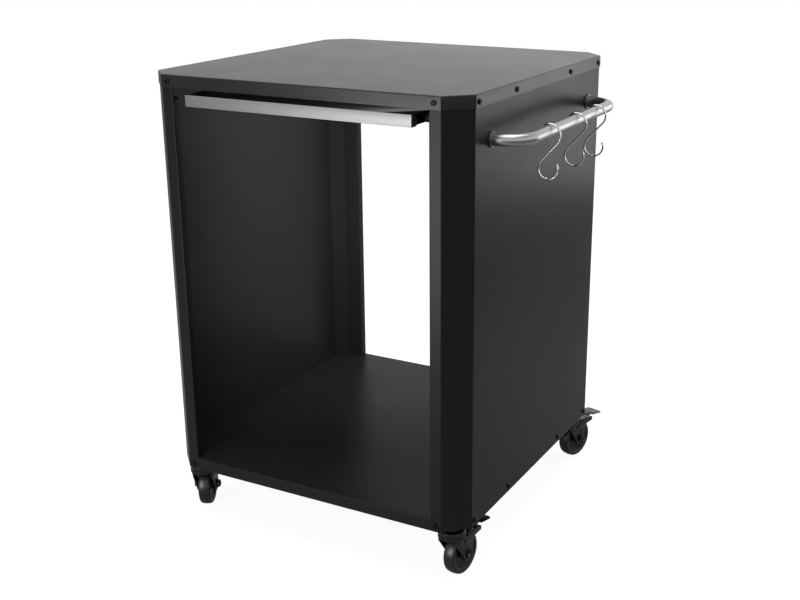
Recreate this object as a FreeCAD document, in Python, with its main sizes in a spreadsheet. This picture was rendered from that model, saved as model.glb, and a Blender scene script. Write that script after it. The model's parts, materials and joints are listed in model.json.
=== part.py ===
import FreeCAD, Part
import math
import os
import re

import Sketcher
from FreeCAD import Placement, Rotation, Vector

os.makedirs("parts", exist_ok=True)
doc = FreeCAD.newDocument("pizza_oven_table")

# Driving dimensions in millimetres and degrees. Heights are above the floor, and distances
# marked "out" are measured from the middle of the square table.
SIZES = {
    # table body
    "width": 620,
    "depth": 620,
    "height": 850,
    "corner": 40,
    "sheet": 1.5,
    "top_skirt": 22,
    "bend": 2,
    "through": 700,
    # side panels and their folded posts
    "panel_bottom": 108,
    "flange_out": 248,
    "post_lip": 16.5,
    "return_out": 282,
    "return_top": 810,
    # bottom shelf
    "shelf_top": 130,
    "ear_out": 266,
    "ear_side": 7,
    "skirt_end": 262,
    # pan head screws and square weld nuts
    "screw": 5,
    "screw_fit": 0.05,
    "screw_head": 9.3,
    "screw_head_high": 2.8,
    "screw_length": 8,
    "nut_square": 10,
    "nut_high": 4,
    "top_side_row": 837.5,
    "top_front_row": 838.5,
    "low_row": 118.5,
    "screw_middle": 118,
    "screw_end": 259,
    "front_screw": 257.5,
    # drawer tray
    "tray_half": 220,
    "tray_sheet": 1.2,
    "tray_low": 798,
    "tray_high": 818,
    "tray_front": 311.2,
    "tray_return": 16,
    "pan_rear": 155,
    "pan_floor": 799,
    "pan_rim": 817,
    "runner_screw": 3,
    "runner_screw_long": 6,
    "runner_play": 0.3,
    "ear_long": 8,
    # tray guides and their hanger brackets
    "guide_in": 221.5,
    "guide_out": 233,
    "guide_low": 801.5,
    "guide_high": 815.5,
    "guide_front": 274,
    "guide_rear": 262,
    "hanger_wide": 30,
    "hanger_tab": 16,
    "hanger_place": 225,
    "rivet": 3.2,
    "tray_travel": 350,
    "stop_gap": 0.5,
    "stop_thick": 2,
    # towel rail on the right panel
    "rail": 20,
    "rail_wall": 1.5,
    "rail_off": 54.5,
    "rail_row": 771,
    "rail_half": 210,
    "rail_bend": 45,
    "rail_plate": 3,
    "rail_plate_out": 13.5,
    "rail_plate_edge": 0.8,
    "rail_screw_long": 14,
    "rail_plug": 12,
    "rail_plug_gap": 0.3,
    # hooks
    "hook_wire": 3,
    "hook_ball": 1.9,
    "hook_loop": 18.5,
    "hook_gap": 0.3,
    "hook_lean": 2,
    "hook_low": 17.5,
    "hook_low_row": 709,
    "hook_open": 142,
    "hook_tip": 24,
    # casters
    "caster_across": 270.5,
    "caster_along": 268,
    "caster_high": 108,
    "wheel": 40,
    "trail": 26,
    "tyre_wide": 23,
    "tyre_round": 5,
    "hub_wide": 30,
    "hub": 29,
    "hub_rim": 4,
    "hub_dish": 7,
    "hub_boss": 11,
    "axle": 8,
    "axle_flange": 8.5,
    "axle_flange_thick": 1.5,
    "axle_hex": 13,
    "axle_hex_high": 4,
    "axle_tip": 26,
    "fork_in": 16.5,
    "fork_sheet": 2.5,
    "crown": 25,
    "crown_row": 83,
    "cup_row": 88,
    "crown_tail": 40,
    "leg_front": 15,
    "leg_shoulder": 75,
    "leg_foot": 11,
    "leg_waist": 56,
    "cap": 24.5,
    "cap_row": 98,
    "kingpin": 5,
    "kingpin_rim": 3,
    "collar": 15,
    "stem": 6,
    "stem_top": 122,
    "stem_nut": 18,
    "stem_nut_high": 8,
    "bracket_sheet": 3,
    "bracket_half": 26,
    "bracket_clip": 22,
    "bracket_clip_side": 5,
    # brake pedals
    "pedal_gap": 0.4,
    "pedal_sheet": 2,
    "pedal_pivot": 12,
    "pedal_pivot_row": 74,
    "pedal_eye": 7,
    "pedal_pin": 6,
    "pin_rim": 1.5,
    "pin_play": 0.1,
    "pedal_rise": 17.5,
    "pedal_crest": 4,
    "pedal_web": 52,
    "pedal_heel": 61,
    "pedal_deep": 10,
    "pedal_row": 83.5,
    "pedal_tongue": 54,
    "pedal_neck": 12,
    "pedal_plate": 68.5,
    "pedal_tip": 101,
    "pedal_half": 17,
    "pedal_drop": 4.7,
    "pedal_tip_round": 6,
    "pedal_rivet": 3,
    # middle of the bounding box, which the frame's origin stands on
    "shift_x": 36.1,
    "shift_y": 27.8,
}

sheet = doc.addObject("Spreadsheet::Sheet", "sizes")
for row, (alias, value) in enumerate(SIZES.items(), start=1):
    sheet.set(f"A{row}", alias)
    sheet.set(f"B{row}", str(value))
    sheet.setAlias(f"B{row}", alias)
doc.recompute()


def bound(text):
    """An expression in which every name of the sheet is written in full."""
    return re.sub(r"[a-z_]+", lambda word: "sizes." * (word.group() in SIZES) + word.group(), str(text))


def number(text):
    """The present value of an expression."""
    return float(sheet.evalExpression(bound(text)))


def new_body(label, x="0", y="0", turn="0"):
    """An empty body, standing at (x, y) from the middle of the table and turned clockwise."""
    body = doc.addObject("PartDesign::Body", label)
    body.Label = label
    body.AllowCompound = True
    body.setExpression("Placement.Base.x", bound(f"({x}) - shift_x"))
    body.setExpression("Placement.Base.y", bound(f"({y}) - shift_y"))
    body.setExpression("Placement.Rotation.Angle", bound(f"-({turn})"))
    return body


def plane_of(body, role):
    """One of the body's own origin planes."""
    return next(feature for feature in body.Origin.OriginFeatures if feature.Role == role)


def new_sketch(body, plane, offset="0", seat=None):
    """A sketch on an origin plane, moved along the plane's normal or to a seat of its own."""
    sketch = body.newObject("Sketcher::SketchObject", f"{body.Name}_sketch")
    sketch.AttachmentSupport = (plane_of(body, plane), [""])
    sketch.MapMode = "FlatFace"
    if seat is None:
        sketch.setExpression("AttachmentOffset.Base.z", bound(offset))
    else:
        sketch.AttachmentOffset = seat
    return sketch


def bind(sketch, kind, geometry, vertex, text):
    """Hold one coordinate of a vertex at an expression, measured from the sketch's origin."""
    index = sketch.addConstraint(Sketcher.Constraint(kind, -1, 1, geometry, vertex, number(text)))
    sketch.setExpression(f"Constraints[{index}]", bound(text))


def draw_outline(sketch, corners):
    """A closed loop of straight lines through corners given as pairs of expressions."""
    points = [Vector(number(across), number(along), 0) for across, along in corners]
    first = sketch.GeometryCount
    count = len(points)
    for place in range(count):
        sketch.addGeometry(Part.LineSegment(points[place], points[(place + 1) % count]), False)
    for place, (across, along) in enumerate(corners):
        following = first + (place + 1) % count
        sketch.addConstraint(Sketcher.Constraint("Coincident", first + place, 2, following, 1))
        bind(sketch, "DistanceX", first + place, 1, across)
        bind(sketch, "DistanceY", first + place, 1, along)


def draw_circle(sketch, across, along, radius):
    """A circle with its centre and radius bound to expressions."""
    centre = Vector(number(across), number(along), 0)
    circle = sketch.addGeometry(Part.Circle(centre, Vector(0, 0, 1), number(radius)), False)
    index = sketch.addConstraint(Sketcher.Constraint("Radius", circle, number(radius)))
    sketch.setExpression(f"Constraints[{index}]", bound(radius))
    bind(sketch, "DistanceX", circle, 3, across)
    bind(sketch, "DistanceY", circle, 3, along)


def draw_hexagon(sketch, across, along, flats):
    """A hexagon of the given width across flats about a centre."""
    corners = []
    for step in range(6):
        reach = f"({flats}) / sqrt(3)"
        corners.append((
            f"({across}) + {reach} * cos({60 * step} deg)",
            f"({along}) + {reach} * sin({60 * step} deg)",
        ))
    draw_outline(sketch, corners)


def pad(body, sketch, length, both_ways=False, backwards=False):
    """Material from a sketch."""
    feature = body.newObject("PartDesign::Pad", f"{body.Name}_pad")
    feature.Profile = (sketch, [""])
    feature.setExpression("Length", bound(length))
    feature.Midplane = both_ways
    feature.Reversed = backwards
    body.Tip = feature
    return feature


def pocket(body, sketch, length, both_ways=False, backwards=False):
    """A cut from a sketch, which must remove something."""
    doc.recompute()
    before = body.Tip.Shape.Volume
    feature = body.newObject("PartDesign::Pocket", f"{body.Name}_pocket")
    feature.Profile = (sketch, [""])
    feature.setExpression("Length", bound(length))
    feature.Midplane = both_ways
    feature.Reversed = backwards
    body.Tip = feature
    doc.recompute()
    if feature.Shape.Volume >= before - 0.01:
        raise RuntimeError(f"{feature.Name} cuts nothing")
    return feature


def revolve(body, sketch, axis):
    """A full turn of a sketch about one of its own axes, H_Axis or V_Axis."""
    feature = body.newObject("PartDesign::Revolution", f"{body.Name}_turned")
    feature.Profile = (sketch, [""])
    feature.ReferenceAxis = (sketch, [axis])
    feature.Angle = 360
    body.Tip = feature
    return feature


def mirror(body, *planes):
    """The whole body repeated on the other side of each plane in turn."""
    for plane in planes:
        feature = body.newObject("PartDesign::Mirrored", f"{body.Name}_mirror")
        feature.MirrorPlane = (plane_of(body, plane), [""])
        feature.TransformMode = "Whole shape"
        body.Tip = feature
        doc.recompute()


def round_edges(body, radius, wanted):
    """Fillet every edge of the body so far that the test picks."""
    doc.recompute()
    tip = body.Tip
    names = [f"Edge{place}" for place, edge in enumerate(tip.Shape.Edges, start=1) if wanted(edge)]
    if not names:
        raise RuntimeError(f"{body.Label} has no edge to round")
    feature = body.newObject("PartDesign::Fillet", f"{body.Name}_fillet")
    feature.Base = (tip, names)
    feature.setExpression("Radius", bound(radius))
    body.Tip = feature
    doc.recompute()


def spans(edge):
    """The edge's extent along X, Y and Z."""
    box = edge.BoundBox
    return box.XLength, box.YLength, box.ZLength


def is_upright(edge):
    """True for a straight edge along Z."""
    x_span, y_span, z_span = spans(edge)
    return z_span > 1 and x_span < 0.01 and y_span < 0.01


def lies_across(edge):
    """True for a straight edge along X."""
    x_span, y_span, z_span = spans(edge)
    return x_span > 1 and y_span < 0.01 and z_span < 0.01


def is_at(edge, axis, text):
    """True when the middle of the edge has this coordinate along one axis."""
    return abs(getattr(edge.BoundBox.Center, axis) - number(text)) < 0.02


# Corners of the square with cut corners, and of the same outline set in by a sheet or two
PANEL_OUT = "(width / 2 - sheet)"
PANEL_FACE = "(depth / 2 - sheet)"
PANEL_CUT = "(depth / 2 - corner - sheet * (sqrt(2) - 1))"
INNER_CUT = "(depth / 2 - corner - 2 * sheet * (sqrt(2) - 1))"
RETURN_FACE = "(depth / 2 - sheet - post_lip)"


def cut_square(inset):
    """The table's plan outline, set in by the given amount."""
    side = f"(width / 2 - {inset})"
    end = f"(depth / 2 - {inset})"
    near = f"(depth / 2 - corner - {inset} * (sqrt(2) - 1))"
    wide = f"(width / 2 - corner - {inset} * (sqrt(2) - 1))"
    return [
        (side, near), (wide, end), (f"-{wide}", end), (f"-{side}", near),
        (f"-{side}", f"-{near}"), (f"-{wide}", f"-{end}"), (wide, f"-{end}"), (side, f"-{near}"),
    ]


# Places along the tray and its guides
GUIDE_ROW = "(guide_low + guide_high) / 2"
HANGERS = ("-hanger_place", "0", "hanger_place")
RIVETS = [f"{place} {step} hanger_wide / 4" for place in HANGERS for step in "-+"]
RUNNER_SCREWS = ("-hanger_place - ear_long", "-hanger_wide * 2", "pan_rear - hanger_wide")


def make_top_plate():
    """Folded top: a square sheet with cut corners and a skirt turned down all round."""
    body = new_body("top_plate")
    outline = new_sketch(body, "XY_Plane", "height - top_skirt")
    draw_outline(outline, cut_square("0"))
    pad(body, outline, "top_skirt")
    round_edges(body, "bend", is_upright)
    top = number("height")
    round_edges(body, "bend", lambda edge: abs(edge.BoundBox.ZMin - top) < 0.01)
    inside = new_sketch(body, "XY_Plane", "height - top_skirt")
    draw_outline(inside, cut_square("sheet"))
    pocket(body, inside, "top_skirt - sheet", backwards=True)
    side_holes = new_sketch(body, "YZ_Plane")
    for sign in ("", "-"):
        for place in ("screw_middle", "screw_end"):
            draw_circle(side_holes, sign + place, "top_side_row", "screw / 2 + screw_fit")
    pocket(body, side_holes, "through", both_ways=True)
    front_holes = new_sketch(body, "XZ_Plane")
    for sign in ("", "-"):
        draw_circle(front_holes, f"{sign}front_screw", "top_front_row", "screw / 2 + screw_fit")
    pocket(body, front_holes, "through", both_ways=True)
    return body


def make_side_panel(label, side):
    """Side sheet folded at each end into a post: chamfer, flange, lip and a return inside."""
    body = new_body(label)
    outer = side + PANEL_OUT
    inner = f"{side}(width / 2 - 2 * sheet)"
    section = new_sketch(body, "XY_Plane", "panel_bottom")
    draw_outline(section, [
        (outer, "0"),
        (outer, f"-{PANEL_CUT}"),
        (side + PANEL_CUT, f"-{PANEL_FACE}"),
        (f"{side}flange_out", f"-{PANEL_FACE}"),
        (f"{side}flange_out", f"-{RETURN_FACE}"),
        (f"{side}return_out", f"-{RETURN_FACE}"),
        (f"{side}return_out", f"-({RETURN_FACE} + sheet)"),
        (f"{side}(flange_out + sheet)", f"-({RETURN_FACE} + sheet)"),
        (f"{side}(flange_out + sheet)", f"-({PANEL_FACE} - sheet)"),
        (side + INNER_CUT, f"-({PANEL_FACE} - sheet)"),
        (inner, f"-{INNER_CUT}"),
        (inner, "0"),
    ])
    pad(body, section, "height - sheet - panel_bottom")
    bends = [
        (outer, f"-{PANEL_CUT}"),
        (side + PANEL_CUT, f"-{PANEL_FACE}"),
        (f"{side}flange_out", f"-{PANEL_FACE}"),
        (f"{side}flange_out", f"-{RETURN_FACE}"),
    ]
    round_edges(body, "bend", lambda edge: is_upright(edge) and any(
        is_at(edge, "x", across) and is_at(edge, "y", along) for across, along in bends))
    notch = new_sketch(body, "XY_Plane", "return_top")
    draw_outline(notch, [
        (f"{side}(flange_out - 1)", f"-({RETURN_FACE} - 1)"),
        (f"{side}(return_out + sheet / 10)", f"-({RETURN_FACE} - 1)"),
        (f"{side}(return_out + sheet / 10)", f"-({RETURN_FACE} + sheet * 1.1)"),
        (f"{side}(flange_out + post_lip)", f"-({RETURN_FACE} + sheet * 1.1)"),
        (f"{side}(flange_out + post_lip)", f"-({PANEL_FACE} - sheet)"),
        (f"{side}(flange_out - 1)", f"-({PANEL_FACE} - sheet)"),
    ])
    pocket(body, notch, "height - return_top", backwards=True)
    mirror(body, "XZ_Plane")
    side_holes = new_sketch(body, "YZ_Plane")
    for sign in ("", "-"):
        for place in ("screw_middle", "screw_end"):
            for level in ("top_side_row", "low_row"):
                draw_circle(side_holes, sign + place, level, "screw / 2 + screw_fit")
        if side == "":
            draw_circle(side_holes, f"{sign}rail_half", "rail_row", "screw / 2 + screw_fit")
    pocket(body, side_holes, "through", both_ways=True)
    front_holes = new_sketch(body, "XZ_Plane")
    for level in ("top_front_row", "low_row"):
        draw_circle(front_holes, f"{side}front_screw", level, "screw / 2 + screw_fit")
    pocket(body, front_holes, "through", both_ways=True)
    return body


def make_bottom_shelf():
    """Folded shelf: front and rear skirts lap over the posts, side skirts sit inside the panels."""
    body = new_body("bottom_shelf")
    plan = new_sketch(body, "XY_Plane", "shelf_top - sheet")
    side = "(width / 2 - 2 * sheet)"
    slot_out = "(flange_out - 1)"
    slot_end = f"({RETURN_FACE} - sheet)"
    draw_outline(plan, [
        ("0", "0"),
        ("0", "-depth / 2"),
        (slot_out, "-depth / 2"),
        (slot_out, f"-{slot_end}"),
        ("return_out", f"-{slot_end}"),
        (side, f"-(return_out + {slot_end} - {side})"),
        (side, "0"),
    ])
    pad(body, plan, "sheet")
    front = new_sketch(body, "XZ_Plane", PANEL_FACE)
    draw_outline(front, [
        ("0", "panel_bottom"),
        ("ear_out", "panel_bottom"),
        ("ear_out", "panel_bottom + ear_side"),
        ("ear_out - (shelf_top - panel_bottom - ear_side)", "shelf_top"),
        ("0", "shelf_top"),
    ])
    pad(body, front, "sheet")
    side_skirt = new_sketch(body, "XY_Plane", "panel_bottom")
    draw_outline(side_skirt, [
        (side, "0"),
        (side, "-skirt_end"),
        (f"{side} - sheet", "-skirt_end"),
        (f"{side} - sheet", "0"),
    ])
    pad(body, side_skirt, "shelf_top - panel_bottom - sheet")
    folds = lambda edge: is_at(edge, "z", "shelf_top") and (
        (lies_across(edge) and is_at(edge, "y", "-depth / 2")) or is_at(edge, "x", side))
    round_edges(body, "bend", folds)
    mirror(body, "XZ_Plane", "YZ_Plane")
    side_holes = new_sketch(body, "YZ_Plane")
    for sign in ("", "-"):
        for place in ("screw_middle", "screw_end"):
            draw_circle(side_holes, sign + place, "low_row", "screw / 2 + screw_fit")
    pocket(body, side_holes, "through", both_ways=True)
    front_holes = new_sketch(body, "XZ_Plane")
    for sign in ("", "-"):
        draw_circle(front_holes, f"{sign}front_screw", "low_row", "screw / 2 + screw_fit")
    pocket(body, front_holes, "through", both_ways=True)
    return body


def make_screws(label, rows, size, head, head_high, length, planes):
    """Pan head screws: each row is (faces X or Y, seat of the head, place along the face, height)."""
    body = new_body(label)
    for facing, seat, place, level in rows:
        shank = f"({size}) / 2"
        rim = f"({head}) / 2"
        profile = [
            (f"{seat} - {length}", "0"),
            (f"{seat} - {length}", shank),
            (seat, shank),
            (seat, rim),
            (f"{seat} + {head_high} * 0.45", rim),
            (f"{seat} + {head_high}", f"{rim} * 0.6"),
            (f"{seat} + {head_high}", "0"),
        ]
        sketch = new_sketch(body, "XY_Plane", level)
        if facing == "X":
            corners = [(along, f"({place}) + {out}") for along, out in profile]
        else:
            corners = [(f"({place}) + {out}", along) for along, out in profile]
        draw_outline(sketch, corners)
        axis_line = Part.LineSegment(
            Vector(number(corners[-1][0]), number(corners[-1][1]), 0),
            Vector(number(corners[0][0]), number(corners[0][1]), 0))
        axis = sketch.addGeometry(axis_line, True)
        last = len(profile) - 1
        sketch.addConstraint(Sketcher.Constraint("Coincident", axis, 1, last, 1))
        sketch.addConstraint(Sketcher.Constraint("Coincident", axis, 2, 0, 1))
        revolve(body, sketch, "Axis0")
    mirror(body, *planes)
    return body


def make_nuts(label, rows, size, square, high, planes):
    """Square weld nuts: each row is (faces X or Y, face that the nut sits on, place, height)."""
    body = new_body(label)
    for facing, seat, place, level in rows:
        if facing == "X":
            sketch = new_sketch(body, "YZ_Plane", f"({seat}) - {high}")
        else:
            sketch = new_sketch(body, "XZ_Plane", f"-({seat})")
        half = f"{square} / 2"
        draw_outline(sketch, [
            (f"{place} - {half}", f"{level} - {half}"),
            (f"{place} + {half}", f"{level} - {half}"),
            (f"{place} + {half}", f"{level} + {half}"),
            (f"{place} - {half}", f"{level} + {half}"),
        ])
        draw_circle(sketch, place, level, f"{size} / 2 + screw_fit")
        pad(body, sketch, high)
    mirror(body, *planes)
    return body


def make_fasteners():
    """Screws round the top skirt, the shelf and inside the rail, and weld nuts for the outer ones."""
    both = ("XZ_Plane", "YZ_Plane")
    pan_head = ("screw", "screw_head", "screw_head_high", "screw_length")
    square = ("screw", "nut_square", "nut_high")
    inside = "(width / 2 - 2 * sheet)"
    inside_end = "(depth / 2 - 2 * sheet)"
    made = [make_screws("top_screws", [
        ("X", "width / 2", "screw_middle", "top_side_row"),
        ("X", "width / 2", "screw_end", "top_side_row"),
        ("Y", "depth / 2", "front_screw", "top_front_row"),
    ], *pan_head, both)]
    made.append(make_nuts("top_nuts", [
        ("X", inside, "screw_middle", "top_side_row"),
        ("X", inside, "screw_end", "top_side_row"),
        ("Y", inside_end, "front_screw", "top_front_row"),
    ], *square, both))
    made.append(make_screws("shelf_screws", [
        ("X", PANEL_OUT, "screw_middle", "low_row"),
        ("X", PANEL_OUT, "screw_end", "low_row"),
        ("Y", "depth / 2", "front_screw", "low_row"),
    ], *pan_head, both))
    made.append(make_nuts("shelf_nuts", [
        ("X", "(width / 2 - 3 * sheet)", "screw_middle", "low_row"),
        ("X", "(width / 2 - 3 * sheet)", "screw_end", "low_row"),
        ("Y", inside_end, "front_screw", "low_row"),
    ], *square, both))
    made.append(make_screws("rail_screws", [
        ("X", inside, "rail_half", "rail_row"),
    ], "screw", "screw_head", "-screw_head_high", "-rail_screw_long", ("XZ_Plane",)))
    return made


def make_rail_plugs():
    """Threaded plugs in the ends of the rail that the screws from inside the panel enter."""
    plugs = new_body("rail_nuts")
    ring = new_sketch(plugs, "YZ_Plane", f"{PANEL_OUT} + rail_plate")
    draw_circle(ring, "rail_half", "rail_row", "rail / 2 - rail_wall - rail_plug_gap")
    draw_circle(ring, "rail_half", "rail_row", "screw / 2 + screw_fit")
    pad(plugs, ring, "rail_plug")
    mirror(plugs, "XZ_Plane")
    return plugs


def make_rail():
    """Bent tube standing off the right panel on two round end flanges, screwed from inside."""
    tube = new_body("side_rail")
    start = f"({PANEL_OUT} + rail_plate)"
    middle = f"({PANEL_OUT} + rail_off)"
    ring = new_sketch(tube, "YZ_Plane", start)
    draw_circle(ring, "-rail_half", "rail_row", "rail / 2")
    draw_circle(ring, "-rail_half", "rail_row", "rail / 2 - rail_wall")
    spine = new_sketch(tube, "XY_Plane", "rail_row")
    out = number(middle)
    base = number(start)
    half = number("rail_half")
    turn = number("rail_bend")
    quarter = math.pi / 2
    first = spine.addGeometry(Part.LineSegment(Vector(base, -half, 0), Vector(out - turn, -half, 0)), False)
    circle = Part.Circle(Vector(out - turn, turn - half, 0), Vector(0, 0, 1), turn)
    front_arc = spine.addGeometry(Part.ArcOfCircle(circle, -quarter, 0), False)
    run = spine.addGeometry(Part.LineSegment(Vector(out, turn - half, 0), Vector(out, half - turn, 0)), False)
    circle = Part.Circle(Vector(out - turn, half - turn, 0), Vector(0, 0, 1), turn)
    rear_arc = spine.addGeometry(Part.ArcOfCircle(circle, 0, quarter), False)
    last = spine.addGeometry(Part.LineSegment(Vector(out - turn, half, 0), Vector(base, half, 0)), False)
    for joint in ((first, 2, front_arc, 1), (front_arc, 2, run, 1), (run, 2, rear_arc, 1), (rear_arc, 2, last, 1)):
        spine.addConstraint(Sketcher.Constraint("Tangent", *joint))
    spine.addConstraint(Sketcher.Constraint("Horizontal", first))
    spine.addConstraint(Sketcher.Constraint("Vertical", run))
    bind(spine, "DistanceX", first, 1, start)
    bind(spine, "DistanceY", first, 1, "-rail_half")
    bind(spine, "DistanceX", run, 1, middle)
    bind(spine, "DistanceX", last, 2, start)
    bind(spine, "DistanceY", last, 2, "rail_half")
    for arc in (front_arc, rear_arc):
        index = spine.addConstraint(Sketcher.Constraint("Radius", arc, turn))
        spine.setExpression(f"Constraints[{index}]", bound("rail_bend"))
    pipe = tube.newObject("PartDesign::AdditivePipe", "side_rail_pipe")
    pipe.Profile = (ring, [""])
    pipe.Spine = (spine, [""])
    tube.Tip = pipe
    plates = new_body("rail_flanges")
    disc = new_sketch(plates, "YZ_Plane", PANEL_OUT)
    draw_circle(disc, "rail_half", "rail_row", "rail_plate_out")
    pad(plates, disc, "rail_plate")
    face = number(start)
    round_edges(plates, "rail_plate_edge", lambda edge: abs(edge.BoundBox.XMin - face) < 0.01)
    bore = new_sketch(plates, "YZ_Plane", PANEL_OUT)
    draw_circle(bore, "rail_half", "rail_row", "screw / 2 + screw_fit")
    pocket(plates, bore, "rail_plate", backwards=True)
    mirror(plates, "XZ_Plane")
    return [tube, plates, make_rail_plugs()]


def make_hook(label, place):
    """S-hook of round wire: a large loop over the rail, a slanting leg and an open lower loop."""
    body = new_body(label)
    wire = number("hook_wire")
    upper = number("hook_loop")
    lower = number("hook_low")
    rail_x = number(f"{PANEL_OUT} + rail_off")
    rest = upper - wire / 2 - number("hook_gap") - number("rail / 2")
    lean = number("hook_lean")
    centre = Vector(rail_x + lean, number("rail_row") - math.sqrt(rest ** 2 - lean ** 2), 0)
    foot = Vector(rail_x, number("hook_low_row"), 0)
    # The leg is the inner tangent of the two loops
    apart = foot.sub(centre)
    slope = math.atan2(apart.y, apart.x)
    side = math.acos((upper + lower) / apart.Length)
    leave = slope + side
    arrive = leave + math.pi
    begin = math.radians(number("hook_open"))
    finish = math.radians(number("hook_tip"))

    def on_loop(middle, radius, angle):
        return middle.add(Vector(radius * math.cos(angle), radius * math.sin(angle), 0))

    spine = new_sketch(body, "XZ_Plane", f"-({place})")
    loop = Part.Circle(centre, Vector(0, 0, 1), upper)
    upper_arc = spine.addGeometry(Part.ArcOfCircle(loop, leave, begin), False)
    leg = spine.addGeometry(
        Part.LineSegment(on_loop(centre, upper, leave), on_loop(foot, lower, arrive)), False)
    loop = Part.Circle(foot, Vector(0, 0, 1), lower)
    lower_arc = spine.addGeometry(Part.ArcOfCircle(loop, arrive, finish + 2 * math.pi), False)
    spine.addConstraint(Sketcher.Constraint("Tangent", upper_arc, 1, leg, 1))
    spine.addConstraint(Sketcher.Constraint("Tangent", leg, 2, lower_arc, 1))
    for arc, radius in ((upper_arc, "hook_loop"), (lower_arc, "hook_low")):
        index = spine.addConstraint(Sketcher.Constraint("Radius", arc, number(radius)))
        spine.setExpression(f"Constraints[{index}]", bound(radius))
    start = on_loop(centre, upper, begin)
    # The wire's end face lies across the path where the upper loop opens
    heading = Rotation(Vector(0, 0, 1), math.degrees(begin)).multiply(Rotation(Vector(1, 0, 0), 90))
    seat = Placement(Vector(start.x, start.y, -number(place)), heading)
    ring = new_sketch(body, "XZ_Plane", seat=seat)
    draw_circle(ring, "0", "0", "hook_wire / 2")
    pipe = body.newObject("PartDesign::AdditivePipe", f"{body.Name}_pipe")
    pipe.Profile = (ring, [""])
    pipe.Spine = (spine, [""])
    body.Tip = pipe
    for tip in (start, on_loop(foot, lower, finish)):
        ball = new_sketch(body, "XZ_Plane", f"-({place})")
        round_side = Part.Circle(tip, Vector(0, 0, 1), number("hook_ball"))
        half = ball.addGeometry(Part.ArcOfCircle(round_side, -math.pi / 2, math.pi / 2), False)
        flat = ball.addGeometry(Part.LineSegment(
            tip.add(Vector(0, number("hook_ball"), 0)), tip.sub(Vector(0, number("hook_ball"), 0))), False)
        ball.addConstraint(Sketcher.Constraint("Coincident", half, 2, flat, 1))
        ball.addConstraint(Sketcher.Constraint("Coincident", flat, 2, half, 1))
        axis = ball.addGeometry(Part.LineSegment(
            tip.sub(Vector(0, number("hook_ball"), 0)), tip.add(Vector(0, number("hook_ball"), 0))), True)
        ball.addConstraint(Sketcher.Constraint("Coincident", axis, 1, flat, 2))
        ball.addConstraint(Sketcher.Constraint("Coincident", axis, 2, flat, 1))
        revolve(body, ball, "Axis0")
    return body


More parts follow.
